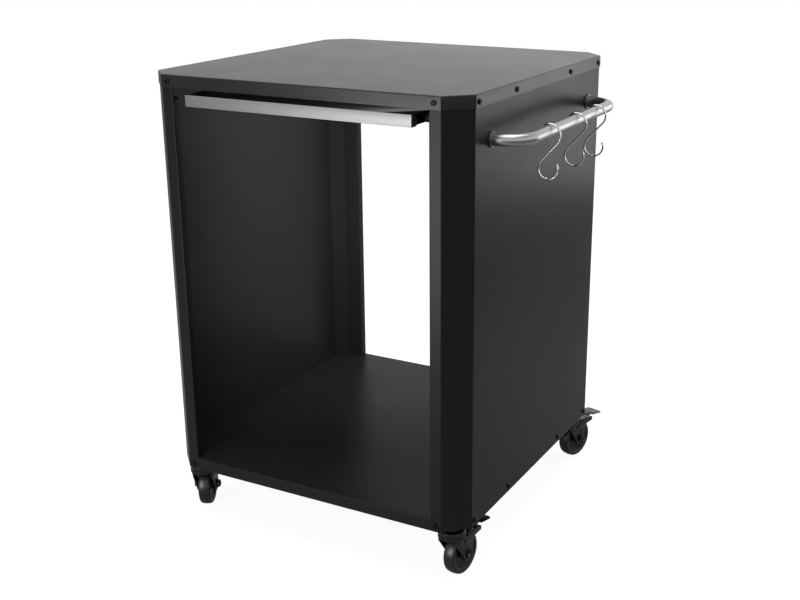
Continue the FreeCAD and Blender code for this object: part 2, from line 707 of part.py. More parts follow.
def make_tray():
    """Sliding tray: black pan, bright front with short returns, side runners and their screws."""
    pan = new_body("tray_pan")
    pan_out = "(tray_half - tray_sheet)"
    pan_front = "(tray_front - tray_sheet)"
    floor = new_sketch(pan, "XY_Plane", "pan_floor")
    draw_outline(floor, [
        (f"-{pan_out}", f"-{pan_front}"),
        (pan_out, f"-{pan_front}"),
        (pan_out, "pan_rear"),
        (f"-{pan_out}", "pan_rear"),
    ])
    pad(pan, floor, "pan_rim - pan_floor")
    round_edges(pan, "bend", lambda edge: is_at(edge, "z", "pan_floor"))
    hollow = new_sketch(pan, "XY_Plane", "pan_floor + tray_sheet")
    draw_outline(hollow, [
        (f"-({pan_out} - tray_sheet)", f"-({pan_front} - tray_sheet)"),
        (f"{pan_out} - tray_sheet", f"-({pan_front} - tray_sheet)"),
        (f"{pan_out} - tray_sheet", "pan_rear - tray_sheet"),
        (f"-({pan_out} - tray_sheet)", "pan_rear - tray_sheet"),
    ])
    pocket(pan, hollow, "pan_rim - pan_floor", backwards=True)
    # Ears at the rear corners that meet the guides' stops when the tray is out
    ears = new_sketch(pan, "XY_Plane", "guide_high + stop_gap")
    for sign in ("", "-"):
        draw_outline(ears, [
            (f"{sign}({pan_out} - tray_sheet)", "pan_rear"),
            (f"{sign}(guide_out - 2 * stop_thick)", "pan_rear"),
            (f"{sign}(guide_out - 2 * stop_thick)", "pan_rear - ear_long"),
            (f"{sign}({pan_out} - tray_sheet)", "pan_rear - ear_long"),
        ])
    pad(pan, ears, "pan_rim - guide_high - stop_gap")
    holes = new_sketch(pan, "YZ_Plane")
    for place in RUNNER_SCREWS:
        draw_circle(holes, place, GUIDE_ROW, "runner_screw / 2 + screw_fit")
    pocket(pan, holes, "through", both_ways=True)

    front = new_body("tray_front")
    channel = new_sketch(front, "XY_Plane", "tray_low")
    draw_outline(channel, [
        ("-tray_half", "-tray_front"),
        ("tray_half", "-tray_front"),
        ("tray_half", "-tray_front + tray_return"),
        (pan_out, "-tray_front + tray_return"),
        (pan_out, f"-{pan_front}"),
        (f"-{pan_out}", f"-{pan_front}"),
        (f"-{pan_out}", "-tray_front + tray_return"),
        ("-tray_half", "-tray_front + tray_return"),
    ])
    pad(front, channel, "tray_high - tray_low")
    round_edges(front, "tray_sheet", lambda edge: is_upright(edge) and is_at(edge, "y", "-tray_front"))

    runners = new_body("tray_runners")
    strip = new_sketch(runners, "XZ_Plane", "-pan_rear + ear_long / 2")
    draw_outline(strip, [
        (pan_out, "guide_low + sheet + runner_play"),
        ("guide_out - sheet - runner_play", "guide_low + sheet + runner_play"),
        ("guide_out - sheet - runner_play", "guide_high - sheet - runner_play"),
        (pan_out, "guide_high - sheet - runner_play"),
    ])
    pad(runners, strip, "guide_front + pan_rear - ear_long")
    bores = new_sketch(runners, "YZ_Plane", pan_out)
    for place in RUNNER_SCREWS:
        draw_circle(bores, place, GUIDE_ROW, "runner_screw / 2 + screw_fit")
    pocket(runners, bores, "runner_screw_long + 1", backwards=True)
    mirror(runners, "YZ_Plane")

    screws = new_body("tray_screws")
    seat = f"({pan_out} - tray_sheet)"
    crest = f"({seat} - runner_screw / 2)"
    end = f"({seat} + runner_screw_long)"
    for place in RUNNER_SCREWS:
        sketch = new_sketch(screws, "XY_Plane", GUIDE_ROW)
        draw_outline(sketch, [
            (crest, place),
            (crest, f"{place} + runner_screw * 0.6"),
            (f"{seat} - runner_screw * 0.2", f"{place} + runner_screw"),
            (seat, f"{place} + runner_screw"),
            (seat, f"{place} + runner_screw / 2"),
            (end, f"{place} + runner_screw / 2"),
            (end, place),
        ])
        near = Vector(number(crest), number(place), 0)
        far = Vector(number(end), number(place), 0)
        axis = sketch.addGeometry(Part.LineSegment(near, far), True)
        sketch.addConstraint(Sketcher.Constraint("Coincident", axis, 1, 0, 1))
        sketch.addConstraint(Sketcher.Constraint("Coincident", axis, 2, 6, 1))
        revolve(screws, sketch, "Axis0")
    mirror(screws, "YZ_Plane")
    return [pan, front, runners, screws]


def make_guide(label, side):
    """C-channel that the tray's runner slides in, with a stop lug on its top flange."""
    body = new_body(label)
    section = new_sketch(body, "XZ_Plane", "-guide_rear")
    draw_outline(section, [
        (f"{side}guide_in", "guide_low"),
        (f"{side}guide_out", "guide_low"),
        (f"{side}guide_out", "guide_high"),
        (f"{side}guide_in", "guide_high"),
        (f"{side}guide_in", "guide_high - sheet"),
        (f"{side}(guide_out - sheet)", "guide_high - sheet"),
        (f"{side}(guide_out - sheet)", "guide_low + sheet"),
        (f"{side}guide_in", "guide_low + sheet"),
    ])
    pad(body, section, "guide_front + guide_rear")
    stop = "(pan_rear - ear_long - tray_travel)"
    lug = new_sketch(body, "XY_Plane", "guide_high")
    draw_outline(lug, [
        (f"{side}guide_in", f"{stop} - stop_gap"),
        (f"{side}(guide_out - stop_thick)", f"{stop} - stop_gap"),
        (f"{side}(guide_out - stop_thick)", f"{stop} - stop_gap - stop_thick"),
        (f"{side}guide_in", f"{stop} - stop_gap - stop_thick"),
    ])
    pad(body, lug, "2 * stop_thick")
    rivet_holes = new_sketch(body, "YZ_Plane", f"{side}(guide_out)")
    for place in RIVETS:
        draw_circle(rivet_holes, place, GUIDE_ROW, "rivet / 2 + screw_fit")
    pocket(body, rivet_holes, "2 * sheet", both_ways=True)
    return body


def make_hangers():
    """Angle brackets that hang the guides from the underside of the top, and their rivets."""
    hangers = new_body("guide_hangers")
    rivets = new_body("guide_rivets")
    for place in HANGERS:
        section = new_sketch(hangers, "XZ_Plane", f"-({place}) - hanger_wide / 2")
        draw_outline(section, [
            ("guide_out", "guide_low"),
            ("guide_out + sheet", "guide_low"),
            ("guide_out + sheet", "height - 2 * sheet"),
            ("guide_out + hanger_tab", "height - 2 * sheet"),
            ("guide_out + hanger_tab", "height - sheet"),
            ("guide_out", "height - sheet"),
        ])
        pad(hangers, section, "hanger_wide")
    holes = new_sketch(hangers, "YZ_Plane", "guide_out")
    shanks = new_sketch(rivets, "YZ_Plane", "guide_out - sheet")
    heads = new_sketch(rivets, "YZ_Plane", "guide_out + sheet")
    for place in RIVETS:
        draw_circle(holes, place, GUIDE_ROW, "rivet / 2 + screw_fit")
        draw_circle(shanks, place, GUIDE_ROW, "rivet / 2")
        draw_circle(heads, place, GUIDE_ROW, "rivet")
    pad(rivets, shanks, "2 * sheet")
    pad(rivets, heads, "rivet / 3")
    pocket(hangers, holes, "sheet", backwards=True)
    mirror(hangers, "YZ_Plane")
    mirror(rivets, "YZ_Plane")
    return [hangers, rivets]


def make_caster_brackets():
    """Folded channels under the shelf corners that take the caster stems, and the stem nuts."""
    brackets = new_body("caster_brackets")
    front = "(caster_along - bracket_half)"
    outer = "(caster_across + bracket_half)"
    inner = "(caster_across - bracket_half)"
    section = new_sketch(brackets, "XZ_Plane", front)
    draw_outline(section, [
        (inner, "panel_bottom"),
        (outer, "panel_bottom"),
        (outer, "shelf_top - sheet"),
        (f"{outer} - bracket_sheet", "shelf_top - sheet"),
        (f"{outer} - bracket_sheet", "panel_bottom + bracket_sheet"),
        (f"{inner} + bracket_sheet", "panel_bottom + bracket_sheet"),
        (f"{inner} + bracket_sheet", "shelf_top - sheet"),
        (inner, "shelf_top - sheet"),
    ])
    pad(brackets, section, f"{RETURN_FACE} - 1 - {front}")
    clip = new_sketch(brackets, "XY_Plane", "panel_bottom")
    draw_outline(clip, [
        (f"{outer} + bracket_clip_side", f"-({RETURN_FACE} + bracket_clip_side)"),
        (f"{outer} + bracket_clip_side", "-(caster_along - bracket_clip_side)"),
        (f"{outer} - bracket_clip", f"-({RETURN_FACE} + bracket_clip_side)"),
    ])
    pocket(brackets, clip, "shelf_top - panel_bottom", backwards=True)
    bore = new_sketch(brackets, "XY_Plane", "panel_bottom")
    draw_circle(bore, "caster_across", "-caster_along", "stem + screw_fit")
    pocket(brackets, bore, "bracket_sheet", backwards=True)
    mirror(brackets, "XZ_Plane", "YZ_Plane")
    nuts = new_body("caster_nuts")
    hexagon = new_sketch(nuts, "XY_Plane", "panel_bottom + bracket_sheet")
    draw_hexagon(hexagon, "caster_across", "-caster_along", "stem_nut")
    draw_circle(hexagon, "caster_across", "-caster_along", "stem + screw_fit")
    pad(nuts, hexagon, "stem_nut_high")
    mirror(nuts, "XZ_Plane", "YZ_Plane")
    return [brackets, nuts]


def make_caster(corner, x, y, turn, braked):
    """One caster: fixed stem with cap and kingpin, swivelling fork, axle, hub, tyre and pedal."""
    where = (x, y, turn)
    stem = new_body(f"caster_stem_{corner}", *where)
    profile = new_sketch(stem, "XZ_Plane")
    race = "(crown - fork_sheet - 1)"
    draw_outline(profile, [
        ("0", "crown_row - kingpin_rim - 0.3"),
        ("kingpin + kingpin_rim", "crown_row - kingpin_rim - 0.3"),
        ("kingpin + kingpin_rim", "crown_row - 0.3"),
        ("kingpin", "crown_row - 0.3"),
        ("kingpin", "crown_row + fork_sheet + 0.5"),
        (race, "crown_row + fork_sheet + 0.5"),
        (race, "cup_row + 0.5"),
        ("cap", "cup_row + 0.5"),
        ("cap", "cap_row - 2"),
        ("cap - 2", "cap_row"),
        ("collar", "cap_row + 1"),
        ("collar", "caster_high"),
        ("stem", "caster_high"),
        ("stem", "stem_top"),
        ("0", "stem_top"),
    ])
    revolve(stem, profile, "V_Axis")

    fork = new_body(f"caster_fork_{corner}", *where)
    leg_out = "(fork_in + fork_sheet)"
    crown = new_sketch(fork, "XY_Plane", "crown_row")
    draw_circle(crown, "0", "0", "crown")
    pad(fork, crown, "fork_sheet")
    tail = new_sketch(fork, "XY_Plane", "crown_row")
    draw_outline(tail, [
        (f"-{leg_out}", "0"), (leg_out, "0"), (leg_out, "crown_tail"), (f"-{leg_out}", "crown_tail")])
    pad(fork, tail, "fork_sheet")
    legs = new_sketch(fork, "YZ_Plane")
    draw_outline(legs, [
        ("-leg_front", "crown_row + fork_sheet"),
        ("-leg_front", "leg_shoulder"),
        ("trail - 1.6 * leg_foot", "wheel + leg_foot / 5"),
        ("trail - leg_foot", "wheel - leg_foot"),
        ("trail + leg_foot", "wheel - leg_foot"),
        ("trail + leg_foot", "leg_waist"),
        ("crown_tail", "leg_waist + leg_foot"),
        ("crown_tail", "crown_row + fork_sheet"),
    ])
    pad(fork, legs, f"2 * {leg_out}", both_ways=True)
    round_edges(fork, "leg_foot * 0.9", lambda edge: lies_across(edge) and is_at(edge, "z", "wheel - leg_foot")
                and is_at(edge, "y", "trail + leg_foot"))
    round_edges(fork, "leg_foot / 2", lambda edge: lies_across(edge) and is_at(edge, "z", "wheel - leg_foot"))
    between = new_sketch(fork, "YZ_Plane")
    draw_outline(between, [
        ("-crown * 2", "0"), ("crown_tail * 2", "0"), ("crown_tail * 2", "crown_row"), ("-crown * 2", "crown_row")])
    pocket(fork, between, "2 * fork_in", both_ways=True)
    shoulder = number("crown_row + fork_sheet")
    round_edges(fork, "fork_sheet * 0.9", lambda edge: spans(edge)[1] > 15 and spans(edge)[0] < 0.01
                and spans(edge)[2] < 0.01 and abs(edge.BoundBox.Center.z - shoulder) < 0.01)
    cup = new_sketch(fork, "XY_Plane", "crown_row + fork_sheet / 2")
    draw_circle(cup, "0", "0", "crown")
    draw_circle(cup, "0", "0", "crown - fork_sheet")
    pad(fork, cup, "cup_row - crown_row - fork_sheet / 2")
    bore = new_sketch(fork, "XY_Plane", "crown_row")
    draw_circle(bore, "0", "0", "kingpin + screw_fit")
    pocket(fork, bore, "fork_sheet", backwards=True)
    leg_holes = new_sketch(fork, "YZ_Plane")
    draw_circle(leg_holes, "trail", "wheel", "axle / 2 + screw_fit")
    if braked:
        draw_circle(leg_holes, "pedal_pivot", "pedal_pivot_row", "pedal_pin / 2 + screw_fit")
    pocket(fork, leg_holes, "4 * fork_in", both_ways=True)

    axle = new_body(f"caster_axle_{corner}", *where)
    shank = new_sketch(axle, "YZ_Plane")
    draw_circle(shank, "trail", "wheel", "axle / 2")
    pad(axle, shank, "2 * axle_tip", both_ways=True)
    for backwards in (False, True):
        sign = "-" if backwards else ""
        flange = new_sketch(axle, "YZ_Plane", sign + leg_out)
        draw_circle(flange, "trail", "wheel", "axle_flange")
        pad(axle, flange, "axle_flange_thick", backwards=backwards)
        hexagon = new_sketch(axle, "YZ_Plane", f"{sign}({leg_out} + axle_flange_thick)")
        draw_hexagon(hexagon, "trail", "wheel", "axle_hex")
        pad(axle, hexagon, "axle_hex_high", backwards=backwards)

    hub = new_body(f"wheel_hub_{corner}", *where)
    half_hub = new_sketch(hub, "YZ_Plane")
    draw_circle(half_hub, "trail", "wheel", "hub")
    pad(hub, half_hub, "tyre_wide - 2", both_ways=True)
    for backwards in (False, True):
        face = new_sketch(hub, "YZ_Plane", "-(tyre_wide / 2 - 1)" if backwards else "tyre_wide / 2 - 1")
        draw_circle(face, "trail", "wheel", "hub - hub_rim")
        draw_circle(face, "trail", "wheel", "hub_boss")
        pocket(hub, face, "hub_dish", backwards=backwards)
    boss = new_sketch(hub, "YZ_Plane")
    draw_circle(boss, "trail", "wheel", "hub_boss")
    pad(hub, boss, "hub_wide", both_ways=True)
    eye = new_sketch(hub, "YZ_Plane")
    draw_circle(eye, "trail", "wheel", "axle / 2 + screw_fit")
    pocket(hub, eye, "2 * hub_wide", both_ways=True)

    tyre = new_body(f"wheel_tyre_{corner}", *where)
    band = new_sketch(tyre, "YZ_Plane")
    draw_circle(band, "trail", "wheel", "wheel")
    pad(tyre, band, "tyre_wide", both_ways=True)
    round_edges(tyre, "tyre_round", lambda edge: edge.BoundBox.YLength > number("wheel"))
    seat = new_sketch(tyre, "YZ_Plane")
    draw_circle(seat, "trail", "wheel", "hub")
    pocket(tyre, seat, "2 * tyre_wide", both_ways=True)
    made = [stem, fork, axle, hub, tyre]
    if braked:
        made += make_pedal(corner, where)
    return made


def make_pedal(corner, where):
    """Brake pedal: cheeks astride the fork joined by a web, a riveted tread plate and two pivot pins."""
    pedal = new_body(f"brake_pedal_{corner}", *where)
    inside = "(fork_in + fork_sheet + pedal_gap)"
    outside = f"({inside} + pedal_sheet)"
    eye_front = "(pedal_pivot - pedal_eye)"
    web_top = "(pedal_row - pedal_sheet)"
    web_low = "(pedal_row - 2 * pedal_sheet)"
    cheeks = new_sketch(pedal, "YZ_Plane")
    draw_outline(cheeks, [
        (eye_front, "pedal_pivot_row - pedal_eye"),
        ("pedal_web", "pedal_row - pedal_deep"),
        ("pedal_heel", "pedal_row - pedal_deep"),
        ("pedal_heel", "pedal_row"),
        ("pedal_web", "pedal_row"),
        ("pedal_rise + 1.5", "pedal_row + pedal_crest"),
        ("pedal_rise", "pedal_pivot_row + pedal_eye"),
        (eye_front, "pedal_pivot_row + pedal_eye"),
    ])
    pad(pedal, cheeks, f"2 * {outside}", both_ways=True)
    round_edges(pedal, "pedal_eye * 0.9", lambda edge: lies_across(edge) and is_at(edge, "y", eye_front))
    round_edges(pedal, "pedal_deep / 2 - 0.5", lambda edge: lies_across(edge) and is_at(edge, "y", "pedal_heel"))
    hollow = new_sketch(pedal, "YZ_Plane")
    draw_outline(hollow, [
        ("-crown", "cup_row + pedal_eye"),
        ("pedal_tip", "cup_row + pedal_eye"),
        ("pedal_tip", web_top),
        ("pedal_web", web_top),
        ("pedal_web", web_low),
        ("pedal_tip", web_low),
        ("pedal_tip", "wheel"),
        ("-crown", "wheel"),
    ])
    pocket(pedal, hollow, f"2 * {inside}", both_ways=True)
    tongue = new_sketch(pedal, "YZ_Plane")
    draw_outline(tongue, [
        ("pedal_tongue", "pedal_row - 1.5 * pedal_sheet"),
        ("pedal_heel", "pedal_row - 1.5 * pedal_sheet"),
        ("pedal_plate + pedal_sheet", web_top),
        ("pedal_plate + pedal_sheet", "pedal_row - pedal_sheet / 2"),
        ("pedal_plate", "pedal_row"),
        ("pedal_tongue", "pedal_row"),
    ])
    pad(pedal, tongue, "2 * pedal_neck", both_ways=True)
    plate = new_sketch(pedal, "YZ_Plane")
    draw_outline(plate, [
        ("pedal_plate", web_top),
        ("pedal_tip", f"{web_top} - pedal_drop"),
        ("pedal_tip", "pedal_row - pedal_drop"),
        ("pedal_plate", "pedal_row"),
    ])
    pad(pedal, plate, "2 * pedal_half", both_ways=True)
    side = number("pedal_half")
    for place, radius in (("pedal_tip", "pedal_tip_round"), ("pedal_plate", "pedal_tip_round / 3")):
        round_edges(pedal, radius, lambda edge: spans(edge)[0] < 0.01 and spans(edge)[2] > 1
                    and is_at(edge, "y", place) and abs(abs(edge.BoundBox.Center.x) - side) < 0.01)
    rivet = new_sketch(pedal, "XY_Plane", "pedal_row")
    draw_circle(rivet, "0", "(pedal_tongue + pedal_plate) / 2", "pedal_rivet")
    pad(pedal, rivet, "pedal_rivet / 3")
    eyes = new_sketch(pedal, "YZ_Plane")
    draw_circle(eyes, "pedal_pivot", "pedal_pivot_row", "pedal_pin / 2 + screw_fit")
    pocket(pedal, eyes, f"4 * {outside}", both_ways=True)
    pins = new_body(f"brake_pins_{corner}", *where)
    shank = new_sketch(pins, "YZ_Plane", "fork_in")
    draw_circle(shank, "pedal_pivot", "pedal_pivot_row", "pedal_pin / 2")
    pad(pins, shank, f"{outside} + pin_play - fork_in")
    for offset in ("fork_in - pin_rim", f"{outside} + pin_play"):
        head = new_sketch(pins, "YZ_Plane", offset)
        draw_circle(head, "pedal_pivot", "pedal_pivot_row", "pedal_pin / 2 + pin_rim")
        pad(pins, head, "pin_rim")
    mirror(pins, "YZ_Plane")
    return [pedal, pins]


nodes = [make_top_plate(), make_side_panel("left_side_panel", "-"), make_side_panel("right_side_panel", "")]
nodes.append(make_bottom_shelf())
nodes += make_fasteners()
nodes += make_rail()
for label, place in (("hook_front", "-106"), ("hook_middle", "11"), ("hook_rear", "106")):
    nodes.append(make_hook(label, place))
nodes += make_tray()
nodes += [make_guide("left_tray_guide", "-"), make_guide("right_tray_guide", "")]
nodes += make_hangers()
nodes += make_caster_brackets()
CASTERS = (
    ("front_left", "-caster_across", "-caster_along", "-26.5", False),
    ("front_right", "caster_across", "-caster_along", "7", True),
    ("rear_left", "-caster_across", "caster_along", "-8", False),
    ("rear_right", "caster_across", "caster_along", "15.5", True),
)
for corner, x, y, turn, braked in CASTERS:
    nodes += make_caster(corner, x, y, turn, braked)

doc.recompute()
faults = [item.Name for item in doc.Objects if {"Invalid", "Error"} & set(item.State)]
faults += [node.Label for node in nodes if node.Shape.isNull() or not node.Shape.isValid()]
if faults:
    raise RuntimeError(f"failed objects: {faults}")
whole = FreeCAD.BoundBox()
for node in nodes:
    whole.add(node.Shape.BoundBox)
    node.Shape.exportStep(f"parts/{node.Label}.step")
print(len(nodes), "nodes, box", whole)
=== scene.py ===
import json
import math

import bmesh
import bpy
from mathutils import Matrix, Vector

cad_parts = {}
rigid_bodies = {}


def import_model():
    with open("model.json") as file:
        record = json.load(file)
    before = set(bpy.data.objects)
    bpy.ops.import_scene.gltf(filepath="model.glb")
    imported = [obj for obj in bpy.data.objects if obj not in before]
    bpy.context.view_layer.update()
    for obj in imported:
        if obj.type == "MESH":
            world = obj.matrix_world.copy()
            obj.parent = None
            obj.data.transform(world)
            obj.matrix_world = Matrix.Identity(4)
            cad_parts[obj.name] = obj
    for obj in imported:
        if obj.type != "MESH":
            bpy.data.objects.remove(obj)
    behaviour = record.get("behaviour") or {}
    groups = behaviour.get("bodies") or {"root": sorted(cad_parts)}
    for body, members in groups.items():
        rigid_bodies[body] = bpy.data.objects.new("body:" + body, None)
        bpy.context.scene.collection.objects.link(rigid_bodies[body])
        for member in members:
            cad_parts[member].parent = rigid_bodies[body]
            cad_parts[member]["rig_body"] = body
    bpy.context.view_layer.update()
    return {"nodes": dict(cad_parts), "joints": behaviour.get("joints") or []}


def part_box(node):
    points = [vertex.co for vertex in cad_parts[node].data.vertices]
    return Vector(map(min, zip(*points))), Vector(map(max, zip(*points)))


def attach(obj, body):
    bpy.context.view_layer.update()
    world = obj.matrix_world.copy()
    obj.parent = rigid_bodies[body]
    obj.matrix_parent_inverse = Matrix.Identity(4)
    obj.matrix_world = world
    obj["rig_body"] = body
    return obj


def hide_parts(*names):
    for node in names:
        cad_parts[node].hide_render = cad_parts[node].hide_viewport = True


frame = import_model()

# The photographer's camera stands in front of the table's right corner, a little above the top,
# and looks down along the right side. Its place, aim and lens are those of a fit to the photograph.
camera_data = bpy.data.cameras.new("camera")
camera_data.lens = 53.10
camera_data.sensor_width = 36
camera_data.shift_x = -0.03195
camera_data.shift_y = -0.009125
camera = bpy.data.objects.new("camera", camera_data)
bpy.context.collection.objects.link(camera)
heading = Matrix.Rotation(math.radians(28.272), 3, "Z")
tilt = Matrix.Rotation(math.radians(90 - 18.272), 3, "X")
roll = Matrix.Rotation(math.radians(-0.216), 3, "Z")
camera.location = (1.05397, -1.91379, 1.1256)
camera.rotation_euler = (heading @ tilt @ roll).to_euler()
bpy.context.scene.camera = camera
bpy.context.scene.view_settings.view_transform = "Standard"


# A white studio floor that runs out of sight behind the table. It glows white for the camera and
# keeps the table's own soft shadow. In mirrors it is dimmer, most of all in front to the right,
# where the studio is unlit, so the cut corner of the posts stays dark.
def feed(links, socket, given):
    """Set a socket to a number or link it to another socket."""
    if isinstance(given, (int, float)):
        socket.default_value = given
    else:
        links.new(given, socket)


def join_numbers(nodes, links, operation, first, second):
    """A Math node of two sockets or numbers."""
    step = nodes.new("ShaderNodeMath")
    step.operation = operation
    feed(links, step.inputs[0], first)
    feed(links, step.inputs[1], second)
    return step.outputs[0]


def rescale(nodes, links, value, between, wanted):
    """A Map Range node that takes a value between two ends to the wanted ends."""
    step = nodes.new("ShaderNodeMapRange")
    links.new(value, step.inputs["Value"])
    for end, given in zip(("From Min", "From Max", "To Min", "To Max"), (*between, *wanted)):
        feed(links, step.inputs[end], given)
    return step.outputs["Result"]


FLOOR_WIDE = 60
FLOOR_WHITE = 0.92
FRONT_RIGHT = (0.89, -0.46, 0)
bpy.ops.object.select_all(action="DESELECT")
bpy.ops.mesh.primitive_plane_add(size=FLOOR_WIDE, location=(0, 0, 0))
floor = bpy.context.object
floor.name = "studio_floor"
floor_paint = bpy.data.materials.new("studio_floor_paint")
floor_paint.use_nodes = True
nodes = floor_paint.node_tree.nodes
links = floor_paint.node_tree.links
nodes.clear()
matt = nodes.new("ShaderNodeBsdfDiffuse")
matt.inputs["Color"].default_value = (0.3, 0.3, 0.3, 1)
ray = nodes.new("ShaderNodeLightPath")
direct = join_numbers(nodes, links, "MAXIMUM", ray.outputs["Is Camera Ray"],
                      ray.outputs["Is Transmission Ray"])
place = nodes.new("ShaderNodeTexCoord")
toward = nodes.new("ShaderNodeVectorMath")
toward.operation = "DOT_PRODUCT"
toward.inputs[1].default_value = FRONT_RIGHT
links.new(place.outputs["Object"], toward.inputs[0])
dim = rescale(nodes, links, toward.outputs["Value"], between=(0.35, 1.2), wanted=(0.15, 0.02))
mirrored = join_numbers(nodes, links, "MULTIPLY", ray.outputs["Is Glossy Ray"], dim)
shown = join_numbers(nodes, links, "MULTIPLY", direct, FLOOR_WHITE)
glow = nodes.new("ShaderNodeEmission")
links.new(join_numbers(nodes, links, "ADD", shown, mirrored), glow.inputs["Strength"])
together = nodes.new("ShaderNodeAddShader")
links.new(matt.outputs[0], together.inputs[0])
links.new(glow.outputs[0], together.inputs[1])
output = nodes.new("ShaderNodeOutputMaterial")
links.new(together.outputs[0], output.inputs["Surface"])
floor.data.materials.append(floor_paint)


# The surround is white near the horizon for the camera and in reflections, where it is dimmer to
# the left, and darker overhead. As a light on the object itself it is a plain grey.
world = bpy.data.worlds.new("studio_surround")
bpy.context.scene.world = world
world.use_nodes = True
nodes = world.node_tree.nodes
links = world.node_tree.links
nodes.clear()
direction = nodes.new("ShaderNodeTexCoord")
height = nodes.new("ShaderNodeSeparateXYZ")
links.new(direction.outputs["Generated"], height.inputs[0])
fade = rescale(nodes, links, height.outputs["Z"], between=(0.45, 0.9), wanted=(1, 0.15))
leftward = rescale(nodes, links, height.outputs["X"], between=(-0.65, -0.3), wanted=(0.3, 0))
ray = nodes.new("ShaderNodeLightPath")
lost = join_numbers(nodes, links, "MULTIPLY", ray.outputs["Is Glossy Ray"], leftward)
kept = join_numbers(nodes, links, "SUBTRACT", 1, lost)
white = nodes.new("ShaderNodeBackground")
links.new(fade, white.inputs["Color"])
links.new(kept, white.inputs["Strength"])
grey = nodes.new("ShaderNodeBackground")
grey.inputs["Color"].default_value = (0.25, 0.25, 0.25, 1)
direct = join_numbers(nodes, links, "MAXIMUM", ray.outputs["Is Camera Ray"], ray.outputs["Is Glossy Ray"])
direct = join_numbers(nodes, links, "MAXIMUM", direct, ray.outputs["Is Transmission Ray"])
choice = nodes.new("ShaderNodeMixShader")
links.new(direct, choice.inputs["Fac"])
links.new(grey.outputs[0], choice.inputs[1])
links.new(white.outputs[0], choice.inputs[2])
output = nodes.new("ShaderNodeOutputWorld")
links.new(choice.outputs[0], output.inputs["Surface"])


# Softboxes: one overhead, a low one in front whose reflection brightens the right end of the
# front, and a low one behind for the upper part of the right side. Two weak ones that aren't
# mirrored anywhere light the inside of the left side and the pan of the tray.
def hang_softbox(name, place, aim, wide, high, watts):
    """A rectangular softbox that the camera itself doesn't see."""
    lamp = bpy.data.lights.new(name, "AREA")
    lamp.shape = "RECTANGLE"
    lamp.size = wide
    lamp.size_y = high
    lamp.energy = watts
    holder = bpy.data.objects.new(name, lamp)
    bpy.context.collection.objects.link(holder)
    holder.location = place
    holder.rotation_euler = (Vector(aim) - Vector(place)).to_track_quat("-Z", "Y").to_euler()
    holder.visible_camera = False
    return holder


hang_softbox("softbox_above", place=(0, 0, 3.2), aim=(0, 0, 0.8), wide=2.6, high=2.6, watts=60)
hang_softbox("softbox_front", place=(-0.34, -1.60, 0.38), aim=(0.24, -0.34, 0.46), wide=0.6, high=0.7,
             watts=9.2)
hang_softbox("softbox_right", place=(0.93, 1.05, 0.68), aim=(0.27, -0.27, 0.82), wide=0.8, high=0.6,
             watts=2.6)
inside = hang_softbox("softbox_inside", place=(0.12, -0.24, 0.75), aim=(-0.30, 0.24, 0.46), wide=0.3,
                      high=0.15, watts=2.0)
inside.data.spread = math.radians(95)
inside.visible_glossy = False
pan_fill = hang_softbox("softbox_tray", place=(-0.036, -0.16, 0.846), aim=(-0.036, -0.16, 0.80), wide=0.40,
                        high=0.28, watts=0.12)
pan_fill.visible_glossy = False


# The top is one folded steel sheet with cut corners and a skirt turned down all round. Black
# powder coat covers it: a fine orange peel, soft clouds in the sheen and a faint film of dust.
def start_group(name, inputs):
    """An empty node group for a finish, with the inputs given as (name, kind)."""
    group = bpy.data.node_groups.new(name, "ShaderNodeTree")
    for socket, kind in inputs:
        group.interface.new_socket(socket, in_out="INPUT", socket_type="NodeSocket" + kind)
    for socket, kind in (("Colour", "Color"), ("Roughness", "Float"), ("Height", "Float")):
        group.interface.new_socket(socket, in_out="OUTPUT", socket_type="NodeSocket" + kind)
    return group


def make_powder_coat():
    """Node group: paint that varies over the surface, as colour, roughness and surface height."""
    group = start_group("powder_coat", (("Paint", "Color"), ("Dust", "Float"), ("Sheen Low", "Float"),
                                        ("Sheen High", "Float"), ("Peel", "Float")))
    nodes = group.nodes
    links = group.links
    given = nodes.new("NodeGroupInput")
    result = nodes.new("NodeGroupOutput")
    where = nodes.new("ShaderNodeTexCoord")
    clouds = nodes.new("ShaderNodeTexNoise")
    clouds.inputs["Scale"].default_value = 7
    clouds.inputs["Detail"].default_value = 5
    links.new(where.outputs["Object"], clouds.inputs["Vector"])
    sheen_ends = (given.outputs["Sheen Low"], given.outputs["Sheen High"])
    sheen = rescale(nodes, links, clouds.outputs["Fac"], between=(0.3, 0.7), wanted=sheen_ends)
    links.new(sheen, result.inputs["Roughness"])
    specks = nodes.new("ShaderNodeTexNoise")
    specks.inputs["Scale"].default_value = 900
    specks.inputs["Detail"].default_value = 2
    links.new(where.outputs["Object"], specks.inputs["Vector"])
    film = join_numbers(nodes, links, "MULTIPLY", specks.outputs["Fac"], given.outputs["Dust"])
    dusty = nodes.new("ShaderNodeMix")
    dusty.data_type = "RGBA"
    dusty.inputs["B"].default_value = (0.25, 0.25, 0.25, 1)
    links.new(film, dusty.inputs["Factor"])
    links.new(given.outputs["Paint"], dusty.inputs["A"])
    links.new(dusty.outputs["Result"], result.inputs["Colour"])
    peel = nodes.new("ShaderNodeTexNoise")
    peel.inputs["Scale"].default_value = 420
    peel.inputs["Detail"].default_value = 3
    links.new(where.outputs["Object"], peel.inputs["Vector"])
    links.new(join_numbers(nodes, links, "MULTIPLY", peel.outputs["Fac"], given.outputs["Peel"]),
              result.inputs["Height"])
    return group


